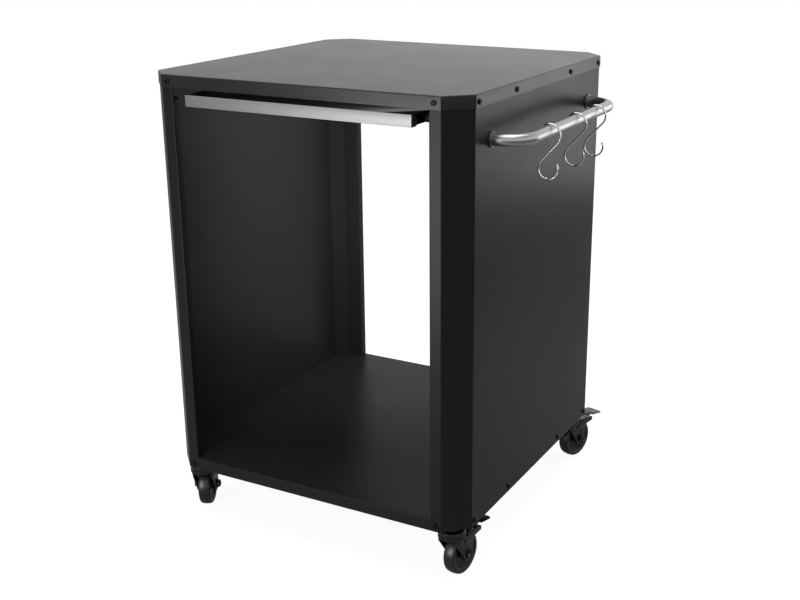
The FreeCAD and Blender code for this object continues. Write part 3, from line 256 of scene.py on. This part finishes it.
def paint(name, colour, dust, sheen, peel, specular):
    """A black finish with its own colour, dust, range of sheen and depth of orange peel."""
    material = bpy.data.materials.new(name)
    material.use_nodes = True
    nodes = material.node_tree.nodes
    links = material.node_tree.links
    shader = nodes["Principled BSDF"]
    shader.inputs["Specular IOR Level"].default_value = specular
    coat = nodes.new("ShaderNodeGroup")
    coat.node_tree = powder_coat
    coat.inputs["Paint"].default_value = (*colour, 1)
    coat.inputs["Dust"].default_value = dust
    coat.inputs["Sheen Low"].default_value = sheen[0]
    coat.inputs["Sheen High"].default_value = sheen[1]
    coat.inputs["Peel"].default_value = peel
    links.new(coat.outputs["Colour"], shader.inputs["Base Color"])
    links.new(coat.outputs["Roughness"], shader.inputs["Roughness"])
    relief = nodes.new("ShaderNodeBump")
    relief.inputs["Distance"].default_value = 0.0001
    links.new(coat.outputs["Height"], relief.inputs["Height"])
    links.new(relief.outputs["Normal"], shader.inputs["Normal"])
    return material


def take_only(piece):
    """Select one piece alone and make it the active one."""
    bpy.ops.object.select_all(action="DESELECT")
    piece.select_set(True)
    bpy.context.view_layer.objects.active = piece


def soften(piece, width, segments=2, angle=35):
    """Break the sharp edges of a piece by a small rounding and shade it smoothly."""
    take_only(piece)
    if width:
        rounding = piece.modifiers.new("edge_rounding", "BEVEL")
        rounding.width = width
        rounding.segments = segments
        rounding.limit_method = "ANGLE"
        rounding.angle_limit = math.radians(angle)
        rounding.miter_outer = "MITER_ARC"
        bpy.ops.object.modifier_apply(modifier=rounding.name)
    bpy.ops.object.shade_smooth_by_angle(angle=math.radians(angle))


def put_on(piece, material, body, slot, *nodes):
    """Give a finished piece its material and its body, and hide the CAD nodes it stands for; slot is not
    used.
    """
    piece.data.materials.clear()
    piece.data.materials.append(material)
    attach(piece, body)
    if nodes:
        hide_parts(*nodes)


# Vertices closer than this are one, and faces that turn less than this from each other are one
SAME_SPOT = 0.00001
FLAT = math.radians(0.5)


def dress(name, material, slot, width=0.0, segments=2):
    """Stand a merged copy of a CAD node in its place, with smooth bends and broken edges."""
    node = frame["nodes"][name]
    piece = bpy.data.objects.new(name + "_piece", node.data.copy())
    bpy.context.collection.objects.link(piece)
    take_only(piece)
    bpy.ops.object.mode_set(mode="EDIT")
    bpy.ops.mesh.select_all(action="SELECT")
    bpy.ops.mesh.remove_doubles(threshold=SAME_SPOT)
    bpy.ops.mesh.dissolve_limited(angle_limit=FLAT)
    bpy.ops.object.mode_set(mode="OBJECT")
    own_normals = piece.data.attributes.get("custom_normal")
    if own_normals:
        piece.data.attributes.remove(own_normals)
    soften(piece, width, segments)
    put_on(piece, material, node["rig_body"], slot, name)
    return piece


powder_coat = make_powder_coat()
top_paint = paint("top_paint", (0.016, 0.016, 0.0165), dust=0.006, sheen=(0.30, 0.34), peel=0.5,
                  specular=0.38)
dress("top_plate", top_paint, "black_panel")


# Each side is one sheet folded at both ends into a post: a cut corner, a flange to the front or
# back and a lip turned inwards. Both faces are plain, in the same powder coat, a little duller.
panel_paint = paint("panel_paint", (0.016, 0.016, 0.0165), dust=0.006, sheen=(0.30, 0.34), peel=0.5,
                    specular=0.16)
dress("left_side_panel", panel_paint, "black_panel")
dress("right_side_panel", panel_paint, "black_panel")


# The bottom shelf is a sheet with skirts folded down on all four sides. Its front and rear skirts
# lap over the posts and end in slanted ears that are screwed to them.
shelf_paint = paint("shelf_paint", (0.020, 0.020, 0.0205), dust=0.012, sheen=(0.32, 0.38), peel=0.5,
                    specular=0.08)
dress("bottom_shelf", shelf_paint, "black_panel")


# Black M5 pan head screws with a star recess hold the top and the shelf: four on each side and
# two on each end of both. One is turned and copied, each copy turned as far as it was tightened.
def add(primitive, name, **how):
    """Add a primitive at its size and place, alone, with its place in its mesh."""
    bpy.ops.object.select_all(action="DESELECT")
    primitive(**how)
    piece = bpy.context.object
    piece.name = name
    bpy.ops.object.transform_apply(location=True, rotation=True, scale=True)
    bpy.ops.object.mode_set(mode="EDIT")
    bpy.ops.mesh.select_all(action="DESELECT")
    return piece


def pick(kind, test):
    """In edit mode, select only the faces or edges whose middle and normal or ends pass a test."""
    bpy.ops.mesh.select_mode(type=kind)
    bpy.ops.mesh.select_all(action="DESELECT")
    mesh = bmesh.from_edit_mesh(bpy.context.object.data)
    if kind == "FACE":
        chosen = [face for face in mesh.faces if test(face.calc_center_median(), face.normal)]
    else:
        chosen = [edge for edge in mesh.edges if test(edge.verts[0].co, edge.verts[1].co)]
    for item in chosen:
        item.select_set(True)
    mesh.select_flush_mode()
    bmesh.update_edit_mesh(bpy.context.object.data)


def push(step):
    """Extrude what is selected and move it by a step."""
    bpy.ops.mesh.extrude_region_move(TRANSFORM_OT_translate={"value": step})


def leave():
    """Merge what coincides, turn all faces outwards and leave edit mode."""
    bpy.ops.mesh.select_mode(type="VERT")
    bpy.ops.mesh.select_all(action="SELECT")
    bpy.ops.mesh.remove_doubles(threshold=SAME_SPOT / 2)
    bpy.ops.mesh.normals_make_consistent(inside=False)
    bpy.ops.mesh.select_all(action="DESELECT")
    bpy.ops.object.mode_set(mode="OBJECT")


def copy_of(pattern, name, seat):
    """A copy of a piece with its own mesh, set in place by a matrix."""
    piece = bpy.data.objects.new(name, pattern.data.copy())
    bpy.context.collection.objects.link(piece)
    piece.data.transform(seat)
    return piece


def discard(pattern):
    """Take away a pattern once its copies are in place."""
    bpy.data.objects.remove(pattern)


# A pan head screw, in shares of its head: how far its rim is rounded off, how wide its recess is,
# how deep, and how much the points of the star swell. A level face's normal is nearly upright, and
# a turned piece is smooth where its faces meet at less than 40 degrees.
HEAD_ROUND = 0.5
RECESS_WIDE = 0.46
RECESS_DEEP = 0.5
STAR_SWELL = 0.12
STAR_POINTS = 6
UPRIGHT = 0.99
TURNED_SMOOTH = 40


def turn_screw(head, high, shank, long):
    """A pan head screw standing on the origin with its head up."""
    screw = add(bpy.ops.mesh.primitive_cylinder_add, "screw_pattern", vertices=24, radius=head,
                depth=high, location=(0, 0, high / 2))
    pick("EDGE", lambda a, b: min(a.z, b.z) > high * UPRIGHT)
    bpy.ops.mesh.bevel(offset=high * HEAD_ROUND, segments=5)
    pick("FACE", lambda middle, normal: normal.z > UPRIGHT and middle.z > high * UPRIGHT)
    bpy.ops.mesh.inset(thickness=head - high * HEAD_ROUND - head * RECESS_WIDE)
    push((0, 0, -high * RECESS_DEEP))
    # The round recess becomes a star
    recess_floor = high * (1 - RECESS_DEEP)
    mesh = bmesh.from_edit_mesh(screw.data)
    for vert in mesh.verts:
        out = math.hypot(vert.co.x, vert.co.y)
        on_rim = abs(out - head * RECESS_WIDE) < head * 0.01
        if on_rim and vert.co.z > recess_floor * 0.8:
            around = math.atan2(vert.co.y, vert.co.x)
            swell = 1 - STAR_SWELL + STAR_SWELL * math.cos(STAR_POINTS * around)
            vert.co.x *= swell
            vert.co.y *= swell
    bmesh.update_edit_mesh(screw.data)
    pick("FACE", lambda middle, normal: normal.z < -UPRIGHT)
    bpy.ops.mesh.inset(thickness=head - shank)
    push((0, 0, -long))
    leave()
    soften(screw, 0, angle=TURNED_SMOOTH)
    return screw


def drive_in(pattern, name, seat, out, turned):
    """A copy of a screw with its head on a seat, facing out."""
    face = Vector((0, 0, 1)).rotation_difference(Vector(out)).to_matrix().to_4x4()
    return copy_of(pattern, name, Matrix.Translation(seat) @ face @ Matrix.Rotation(turned, 4, "Z"))


screw_paint = paint("screw_paint", (0.008, 0.008, 0.008), dust=0.002, sheen=(0.28, 0.34), peel=0.2,
                    specular=0.15)
SCREW_HEAD = 0.00465
SCREW_HIGH = 0.0028
SCREW_SHANK = 0.00245
SCREW_LONG = 0.008
SHEET = 0.0015
SCREW_ROW = (-0.259, -0.118, 0.118, 0.259)
END_SCREW = 0.2575
SIDE_SCREW_DOWN = 0.0125
END_SCREW_DOWN = 0.0115
SHELF_SCREW_LEVEL = 0.1185
TIGHTENED = math.radians(37)
top_low, top_high = (Vector(corner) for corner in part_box("top_plate"))
table_middle = (top_low + top_high) / 2
table_middle.z = 0
half_top = (top_high.x - top_low.x) / 2
half_panels = half_top - SHEET
top_levels = (top_high.z - SIDE_SCREW_DOWN, top_high.z - END_SCREW_DOWN)
shelf_levels = (SHELF_SCREW_LEVEL, SHELF_SCREW_LEVEL)
screw = turn_screw(SCREW_HEAD, SCREW_HIGH, SCREW_SHANK, SCREW_LONG)
count = 0
for kind, side_face, levels in (("top", half_top, top_levels), ("shelf", half_panels, shelf_levels)):
    side_level, end_level = levels
    screw_seats = []
    for side in (-1, 1):
        screw_seats += [((side * side_face, along, side_level), (side, 0, 0)) for along in SCREW_ROW]
        screw_seats += [((side * END_SCREW, end * half_top, end_level), (0, end, 0)) for end in (-1, 1)]
    for seat, out in screw_seats:
        count += 1
        piece = drive_in(screw, f"{kind}_screw_{count}", table_middle + Vector(seat), out,
                         TIGHTENED * count)
        put_on(piece, screw_paint, "frame", "black_screw", kind + "_screws")
discard(screw)


# Square weld nuts behind the screws are zinc plated: pale, a little blue and unevenly dull.
def make_ground_steel():
    """Node group: grinding lines stretched along one axis, as colour, roughness and height."""
    group = start_group("ground_steel", (("Steel", "Color"), ("Where", "Vector"), ("Lines", "Vector"),
                                         ("Sheen Low", "Float"), ("Sheen High", "Float")))
    nodes = group.nodes
    links = group.links
    given = nodes.new("NodeGroupInput")
    result = nodes.new("NodeGroupOutput")
    stretch = nodes.new("ShaderNodeVectorMath")
    stretch.operation = "MULTIPLY"
    links.new(given.outputs["Where"], stretch.inputs[0])
    links.new(given.outputs["Lines"], stretch.inputs[1])
    lines = nodes.new("ShaderNodeTexNoise")
    lines.inputs["Scale"].default_value = 1
    lines.inputs["Detail"].default_value = 6
    links.new(stretch.outputs[0], lines.inputs["Vector"])
    sheen_ends = (given.outputs["Sheen Low"], given.outputs["Sheen High"])
    sheen = rescale(nodes, links, lines.outputs["Fac"], between=(0.3, 0.7), wanted=sheen_ends)
    links.new(sheen, result.inputs["Roughness"])
    shade = rescale(nodes, links, lines.outputs["Fac"], between=(0, 1), wanted=(0.82, 1))
    tone = nodes.new("ShaderNodeMix")
    tone.data_type = "RGBA"
    tone.blend_type = "MULTIPLY"
    tone.inputs["Factor"].default_value = 1
    links.new(given.outputs["Steel"], tone.inputs["A"])
    links.new(shade, tone.inputs["B"])
    links.new(tone.outputs["Result"], result.inputs["Colour"])
    links.new(lines.outputs["Fac"], result.inputs["Height"])
    return group


def bright(name, colour, lines, sheen, depth, own_map=None):
    """A bright metal with grinding lines along the axis that has the lowest number."""
    material = bpy.data.materials.new(name)
    material.use_nodes = True
    nodes = material.node_tree.nodes
    links = material.node_tree.links
    shader = nodes["Principled BSDF"]
    shader.inputs["Metallic"].default_value = 1
    steel = nodes.new("ShaderNodeGroup")
    steel.node_tree = ground_steel
    steel.inputs["Steel"].default_value = (*colour, 1)
    steel.inputs["Lines"].default_value = lines
    steel.inputs["Sheen Low"].default_value = sheen[0]
    steel.inputs["Sheen High"].default_value = sheen[1]
    if own_map:
        where = nodes.new("ShaderNodeUVMap")
        where.uv_map = own_map
        links.new(where.outputs["UV"], steel.inputs["Where"])
    else:
        where = nodes.new("ShaderNodeTexCoord")
        links.new(where.outputs["Object"], steel.inputs["Where"])
    links.new(steel.outputs["Colour"], shader.inputs["Base Color"])
    links.new(steel.outputs["Roughness"], shader.inputs["Roughness"])
    relief = nodes.new("ShaderNodeBump")
    relief.inputs["Distance"].default_value = depth
    links.new(steel.outputs["Height"], relief.inputs["Height"])
    links.new(relief.outputs["Normal"], shader.inputs["Normal"])
    return material


ground_steel = make_ground_steel()
plated_steel = bright("plated_steel", (0.55, 0.56, 0.58), lines=(200, 200, 200), sheen=(0.25, 0.4),
                      depth=0.00001)
dress("top_nuts", plated_steel, "zinc_steel", width=0.0003)
dress("shelf_nuts", plated_steel, "zinc_steel", width=0.0003)


# The drawer tray is a shallow black pan behind a bright brushed front with short returns. It
# slides in two black channels that hang from riveted brackets under the top.
pan_paint = paint("pan_paint", (0.024, 0.024, 0.0245), dust=0.010, sheen=(0.45, 0.52), peel=0.4,
                  specular=0.05)
for name in ("tray_pan", "left_tray_guide", "right_tray_guide", "guide_hangers"):
    dress(name, pan_paint, "black_pan")
front_steel = bright("front_steel", (0.31, 0.31, 0.31), lines=(12, 1500, 1500), sheen=(0.40, 0.5),
                     depth=0.00001)
dress("tray_front", front_steel, "stainless_front", width=0.0004, segments=3)
runner_plastic = paint("runner_plastic", (0.02, 0.02, 0.02), dust=0.01, sheen=(0.4, 0.5), peel=0.4,
                       specular=0.4)
dress("tray_runners", runner_plastic, "runner_plastic", width=0.0003)
dress("tray_screws", plated_steel, "zinc_steel")
dress("guide_rivets", plated_steel, "zinc_steel")


# The side rail is one stainless tube, bent at both ends and welded to two round flanges. Two
# screws from inside the panel go into threaded plugs in its ends. It is polished lengthwise.
def cap_ends():
    """In edit mode, close the open ends of a tube."""
    bpy.ops.mesh.select_mode(type="EDGE")
    bpy.ops.mesh.select_all(action="DESELECT")
    bpy.ops.mesh.select_non_manifold()
    bpy.ops.mesh.fill_holes(sides=0)


TUBE = 0.010
RAIL_BEND = 0.045
rail_low, rail_high = (Vector(corner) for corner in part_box("side_rail"))
RAIL_FOOT = rail_low.x
RAIL_OUT = rail_high.x - TUBE
RAIL_HIGH = (rail_low.z + rail_high.z) / 2
RAIL_FRONT = rail_low.y + TUBE
RAIL_REAR = rail_high.y - TUBE
arm = RAIL_OUT - RAIL_BEND - RAIL_FOOT
front_turn = Vector((RAIL_OUT - RAIL_BEND, RAIL_FRONT + RAIL_BEND, RAIL_HIGH))
rear_turn = Vector((RAIL_OUT - RAIL_BEND, RAIL_REAR - RAIL_BEND, RAIL_HIGH))
rail = add(bpy.ops.mesh.primitive_circle_add, "side_rail_tube", vertices=48, radius=TUBE,
           location=(RAIL_FOOT, RAIL_FRONT, RAIL_HIGH), rotation=(0, math.pi / 2, 0))
bpy.ops.mesh.select_all(action="SELECT")
push((arm, 0, 0))
bpy.ops.mesh.spin(steps=16, angle=-math.pi / 2, center=front_turn, axis=(0, 0, 1))
push((0, rear_turn.y - front_turn.y, 0))
bpy.ops.mesh.spin(steps=16, angle=-math.pi / 2, center=rear_turn, axis=(0, 0, 1))
push((-arm, 0, 0))
cap_ends()
leave()
soften(rail, 0, angle=TURNED_SMOOTH)
# The polish follows the tube, so its map holds the way along the tube and the way round it
polish = rail.data.uv_layers.new(name="along_and_round")
bend_long = RAIL_BEND * math.pi / 2
for loop in rail.data.loops:
    spot = rail.data.vertices[loop.vertex_index].co
    if spot.y < front_turn.y:
        across = math.hypot(spot.x - front_turn.x, spot.y - front_turn.y)
        turned = math.atan2(spot.x - front_turn.x, front_turn.y - spot.y)
        along = arm + (turned * RAIL_BEND if spot.x > front_turn.x else spot.x - front_turn.x)
        aside = (across if spot.x > front_turn.x else front_turn.y - spot.y) - RAIL_BEND
    elif spot.y > rear_turn.y:
        across = math.hypot(spot.x - rear_turn.x, spot.y - rear_turn.y)
        turned = math.atan2(spot.x - rear_turn.x, spot.y - rear_turn.y)
        along = arm + 2 * bend_long + rear_turn.y - front_turn.y
        along -= turned * RAIL_BEND if spot.x > rear_turn.x else spot.x - rear_turn.x
        aside = (across if spot.x > rear_turn.x else spot.y - rear_turn.y) - RAIL_BEND
    else:
        along = arm + bend_long + spot.y - front_turn.y
        aside = spot.x - RAIL_OUT
    polish.data[loop.index].uv = (along, math.atan2(spot.z - RAIL_HIGH, aside) * TUBE)
rail_steel = bright("rail_steel", (0.46, 0.46, 0.46), lines=(15, 1500, 1), sheen=(0.26, 0.36),
                    depth=0.000004, own_map=polish.name)
put_on(rail, rail_steel, "frame", "stainless_rail", "side_rail")

FLANGE = 0.0135
FLANGE_THICK = 0.003
FLANGE_ROUND = 0.0009
WELD = 0.0011
WELD_OUT = 0.0003
RIPPLES = 24
RIPPLE_HIGH = 0.15
WELD_SMOOTH = 60
# The flanges and welds are the same stainless steel as the tube. Their colour is painted far darker, as
# painted shade and painted reflection of the dark panel around them.
shaded_flange_steel = bright("shaded_flange_steel", (0.13, 0.13, 0.13), lines=(300, 300, 300), sheen=(0.2, 0.28),
                      depth=0.000003)
for end, along in (("front", RAIL_FRONT), ("rear", RAIL_REAR)):
    flange = add(bpy.ops.mesh.primitive_cylinder_add, f"rail_flange_{end}", vertices=64, radius=FLANGE,
                 depth=FLANGE_THICK, location=(RAIL_FOOT - FLANGE_THICK / 2, along, RAIL_HIGH),
                 rotation=(0, math.pi / 2, 0))
    pick("EDGE", lambda a, b: min(a.x, b.x) > RAIL_FOOT - FLANGE_ROUND / 2)
    bpy.ops.mesh.bevel(offset=FLANGE_ROUND, segments=4)
    pick("FACE", lambda middle, normal: normal.x > UPRIGHT)
    bpy.ops.mesh.inset(thickness=2 * FLANGE_ROUND)
    leave()
    soften(flange, 0)
    put_on(flange, shaded_flange_steel, "frame", "stainless_rail", "rail_flanges")
    # The weld is a row of small overlapping ripples round the foot of the tube
    weld_middle = Vector((RAIL_FOOT + WELD_OUT, along, RAIL_HIGH))
    weld = add(bpy.ops.mesh.primitive_torus_add, f"rail_weld_{end}", major_segments=96, minor_segments=10,
               major_radius=TUBE, minor_radius=WELD, location=weld_middle, rotation=(0, math.pi / 2, 0))
    mesh = bmesh.from_edit_mesh(weld.data)
    for vert in mesh.verts:
        around = math.atan2(vert.co.z - weld_middle.z, vert.co.y - weld_middle.y)
        core = weld_middle + TUBE * Vector((0, math.cos(around), math.sin(around)))
        vert.co = core + (vert.co - core) * (1 + RIPPLE_HIGH * math.sin(RIPPLES * around))
    bmesh.update_edit_mesh(weld.data)
    leave()
    soften(weld, 0, angle=WELD_SMOOTH)
    put_on(weld, shaded_flange_steel, "frame", "stainless_rail", "rail_flanges")

RAIL_SCREW_LONG = 0.014
RAIL_SCREW_TURN = 0.4
rail_screw = turn_screw(SCREW_HEAD, SCREW_HIGH, SCREW_SHANK, RAIL_SCREW_LONG)
for end, along in (("front", RAIL_FRONT), ("rear", RAIL_REAR)):
    inner_face = (RAIL_FOOT - FLANGE_THICK - SHEET, along, RAIL_HIGH)
    piece = drive_in(rail_screw, f"rail_screw_{end}", inner_face, (-1, 0, 0), RAIL_SCREW_TURN)
    put_on(piece, plated_steel, "frame", "bright_screw", "rail_screws")
discard(rail_screw)
dress("rail_nuts", plated_steel, "zinc_steel")


# Three S-hooks of polished 3 mm stainless wire hang over the rail. The wire's ends are rounded
# into small balls. One hook is bent, its upper loop a little outside the rail's middle, and copied
# to where each hook swings.
WIRE = 0.0015
WIRE_SMOOTH = 60
BALL = 0.0019
UPPER_LOOP = 0.0185
LOWER_LOOP = 0.0175
LOWER_DOWN = 0.062
UPPER_ASIDE = 0.002
PLAY = 0.0003
in_loop = UPPER_LOOP - WIRE - TUBE - PLAY
joints = {joint["name"]: joint for joint in frame["joints"]}
upper_middle = Vector((RAIL_OUT + UPPER_ASIDE, 0, RAIL_HIGH - math.sqrt(in_loop ** 2 - UPPER_ASIDE ** 2)))
lower_middle = Vector((RAIL_OUT, 0, RAIL_HIGH - LOWER_DOWN))
apart = lower_middle - upper_middle
leg_turn = math.atan2(apart.z, apart.x) + math.acos((UPPER_LOOP + LOWER_LOOP) / apart.length)


def on_loop(centre, radius, angle):
    """The point of a hook's loop at an angle in the hook's plane."""
    return centre + Vector((radius * math.cos(angle), 0, radius * math.sin(angle)))


opening = math.radians(142)
tip = math.radians(24)
start = on_loop(upper_middle, UPPER_LOOP, opening)
finish = on_loop(lower_middle, LOWER_LOOP, tip)
hook = add(bpy.ops.mesh.primitive_circle_add, "hook_pattern", vertices=20, radius=WIRE, location=start,
           rotation=(0, -opening, 0))
bpy.ops.mesh.select_all(action="SELECT")
bpy.ops.mesh.spin(steps=48, angle=leg_turn - opening, center=upper_middle, axis=(0, 1, 0))
push(on_loop(lower_middle, LOWER_LOOP, leg_turn + math.pi) - on_loop(upper_middle, UPPER_LOOP, leg_turn))
bpy.ops.mesh.spin(steps=60, angle=tip + math.pi - leg_turn, center=lower_middle, axis=(0, 1, 0))
cap_ends()
leave()
balls = []
for name, place in (("ball_up", start), ("ball_down", finish)):
    ball = add(bpy.ops.mesh.primitive_uv_sphere_add, name, segments=20, ring_count=14, radius=BALL,
               location=place)
    leave()
    balls.append(ball)
take_only(hook)
for ball in balls:
    ball.select_set(True)
bpy.ops.object.join()
soften(hook, 0, angle=WIRE_SMOOTH)
hook_steel = bright("hook_steel", (0.78, 0.78, 0.79), lines=(300, 300, 300), sheen=(0.08, 0.14),
                    depth=0.000002)
for name in ("hook_front", "hook_middle", "hook_rear"):
    along = joints[name + "_swing"]["pos_m"][1]
    piece = copy_of(hook, name + "_wire", Matrix.Translation((0, along, 0)))
    put_on(piece, hook_steel, name, "stainless_hook", name)
discard(hook)


# Four swivel casters screw into brackets under the shelf. A fixed black cap with a kingpin
# carries a pressed steel fork, whose shoulders flare out to the cup of the ball race.
caster_paint = paint("caster_paint", (0.008, 0.008, 0.008), dust=0.002, sheen=(0.22, 0.30), peel=0.3,
                     specular=0.45)
axle_paint = paint("axle_paint", (0.015, 0.015, 0.015), dust=0.002, sheen=(0.22, 0.30), peel=0.2,
                   specular=0.35)
dress("caster_brackets", pan_paint, "black_pan")
dress("caster_nuts", plated_steel, "zinc_steel", width=0.0003)
CORNERS = ("front_left", "front_right", "rear_left", "rear_right")
CUP_LOW = 0.065
CUP_HIGH = 0.084
NARROW = 0.019
CUP = 0.0249
LEG_FRONT = 0.0149
LEG_INNER = 0.0168
PLAIN_BACK = 0.0148
BRAKED_BACK = 0.0040
BRAKED = [corner for corner in CORNERS if "brake_pedal_" + corner in joints]


def shape_shoulders(name, back):
    """The flared shoulders over a fork's two legs, cut off at the front and back of the legs."""
    cone = add(bpy.ops.mesh.primitive_cone_add, name, vertices=72, radius1=NARROW, radius2=CUP,
               depth=CUP_HIGH - CUP_LOW, location=(0, 0, (CUP_HIGH + CUP_LOW) / 2))
    bpy.ops.mesh.select_all(action="SELECT")
    bpy.ops.mesh.bisect(plane_co=(0, back, 0), plane_no=(0, 1, 0), use_fill=True, clear_outer=True)
    bpy.ops.mesh.select_all(action="SELECT")
    bpy.ops.mesh.bisect(plane_co=(0, -LEG_FRONT, 0), plane_no=(0, -1, 0), use_fill=True, clear_outer=True)
    leave()
    half = copy_of(cone, name + "_half", Matrix.Identity(4))
    for side, piece in ((1, cone), (-1, half)):
        take_only(piece)
        bpy.ops.object.mode_set(mode="EDIT")
        bpy.ops.mesh.select_all(action="SELECT")
        bpy.ops.mesh.bisect(plane_co=(side * LEG_INNER, 0, 0), plane_no=(-side, 0, 0), use_fill=True,
                            clear_outer=True)
        leave()
    take_only(cone)
    half.select_set(True)
    bpy.ops.object.join()
    soften(cone, 0.0003)
    return cone


plain_shoulders = shape_shoulders("plain_shoulders", PLAIN_BACK)
braked_shoulders = shape_shoulders("braked_shoulders", BRAKED_BACK)
seats = {}
for corner in CORNERS:
    swivel = joints["caster_swivel_" + corner]["pos_m"]
    axle_way = joints["wheel_spin_" + corner]["axis"]
    facing = Matrix.Rotation(math.atan2(axle_way[1], axle_way[0]), 4, "Z")
    seats[corner] = Matrix.Translation((swivel[0], swivel[1], 0)) @ facing
    shoulders = braked_shoulders if corner in BRAKED else plain_shoulders
    dress("caster_stem_" + corner, caster_paint, "caster_steel", width=0.0004)
    dress("caster_fork_" + corner, caster_paint, "caster_steel", width=0.0004)
    piece = copy_of(shoulders, "fork_shoulders_" + corner, seats[corner])
    put_on(piece, caster_paint, "swivel_" + corner, "caster_steel")
    dress("caster_axle_" + corner, axle_paint, "axle_steel", width=0.0004)
discard(plain_shoulders)
discard(braked_shoulders)


# Each wheel is a black plastic hub with a raised boss and rim, and a hard rubber tyre with a
# slightly crowned tread and rounded shoulders, moulded round it. Outlines are (radius, way out).
def turn_ring(name, outline, steps):
    """Turn a closed outline of (radius, way along the axle) once round the X axis."""
    ring = add(bpy.ops.mesh.primitive_circle_add, name, vertices=len(outline))
    mesh = bmesh.from_edit_mesh(ring.data)
    for vert, (radius, way) in zip(mesh.verts, outline):
        vert.co = (way, radius, 0)
    bmesh.update_edit_mesh(ring.data)
    bpy.ops.mesh.select_all(action="SELECT")
    bpy.ops.mesh.spin(steps=steps, angle=2 * math.pi, center=(0, 0, 0), axis=(1, 0, 0))
    leave()
    return ring


def both_sides(half):
    """The closed outline that a half and its mirror image make."""
    return half + [(radius, -way) for radius, way in reversed(half)]


rubber = paint("tyre_rubber", (0.012, 0.012, 0.012), dust=0.006, sheen=(0.28, 0.36), peel=0.6,
               specular=0.5)
hub_plastic = paint("hub_plastic", (0.009, 0.009, 0.009), dust=0.003, sheen=(0.3, 0.38), peel=0.4,
                    specular=0.22)
TRAIL = 0.026
WHEEL = 0.040
HUB = 0.029
SHOULDER = 0.0048
SHOULDER_IN = 0.0345
SHOULDER_OUT = 0.0067
half_tyre = [(HUB, 0.0104), (0.0302, 0.0110), (0.0308, 0.0113), (SHOULDER_IN, SHOULDER_OUT + SHOULDER)]
for turn in range(15, 90, 15):
    turn = math.radians(turn)
    half_tyre.append((SHOULDER_IN + SHOULDER * math.sin(turn), SHOULDER_OUT + SHOULDER * math.cos(turn)))
half_tyre += [(WHEEL - 0.0006, 0.0062), (WHEEL - 0.0002, 0.0035), (WHEEL, 0.0010)]
tyre = turn_ring("tyre_pattern", both_sides(half_tyre), steps=96)
soften(tyre, 0, angle=TURNED_SMOOTH)
boss_outline = [(0.0042, 0.0146), (0.0046, 0.0150), (0.0104, 0.0150), (0.0110, 0.0144)]
face_outline = [(0.0113, 0.0096), (0.0122, 0.0087), (0.0236, 0.0083), (0.0246, 0.0088)]
rim_outline = [(0.0250, 0.0100), (0.0256, 0.0105), (HUB - 0.0006, 0.0105), (HUB, 0.0100)]
hub = turn_ring("hub_pattern", both_sides(boss_outline + face_outline + rim_outline), steps=72)
soften(hub, 0, angle=TURNED_SMOOTH)
for corner in CORNERS:
    axle = seats[corner] @ Matrix.Translation((0, TRAIL, WHEEL))
    wheel = "wheel_" + corner
    put_on(copy_of(tyre, "tyre_" + corner, axle), rubber, wheel, "tyre_rubber", "wheel_tyre_" + corner)
    put_on(copy_of(hub, "hub_" + corner, axle), hub_plastic, wheel, "hub_plastic", "wheel_hub_" + corner)
discard(tyre)
discard(hub)


# The two casters on the right have brakes: a pressed pedal astride the fork on two pins, with a
# sloping tread plate riveted on. Its cheeks are folded down from a web, of which the front part is
# made here. Pushed down, it bears on the tyre.
pedal_paint = paint("pedal_paint", (0.015, 0.015, 0.015), dust=0.003, sheen=(0.25, 0.32), peel=0.3,
                    specular=0.45)
WEB_HALF = 0.0215
WEB_LONG = 0.012
WEB_THICK = 0.0023
WEB_FOLD = 0.0014
CHEEK_FALL = 0.0040
CHEEK_LONG = 0.0330
web_middle = Vector((0, 0.047, 0.08325))
web = add(bpy.ops.mesh.primitive_cube_add, "web_pattern", size=1, location=web_middle,
          rotation=(-math.atan2(CHEEK_FALL, CHEEK_LONG), 0, 0), scale=(2 * WEB_HALF, WEB_LONG, WEB_THICK))
pick("EDGE", lambda a, b: abs(a.x + b.x) > 1.99 * WEB_HALF and min(a.z, b.z) > web_middle.z)
bpy.ops.mesh.bevel(offset=WEB_FOLD, segments=5)
leave()
soften(web, 0.0002)
for corner in BRAKED:
    piece = copy_of(web, "pedal_web_" + corner, seats[corner])
    put_on(piece, pedal_paint, "pedal_" + corner, "pedal_steel")
    dress("brake_pedal_" + corner, pedal_paint, "pedal_steel", width=0.0004)
    dress("brake_pins_" + corner, axle_paint, "axle_steel", width=0.0003)
discard(web)
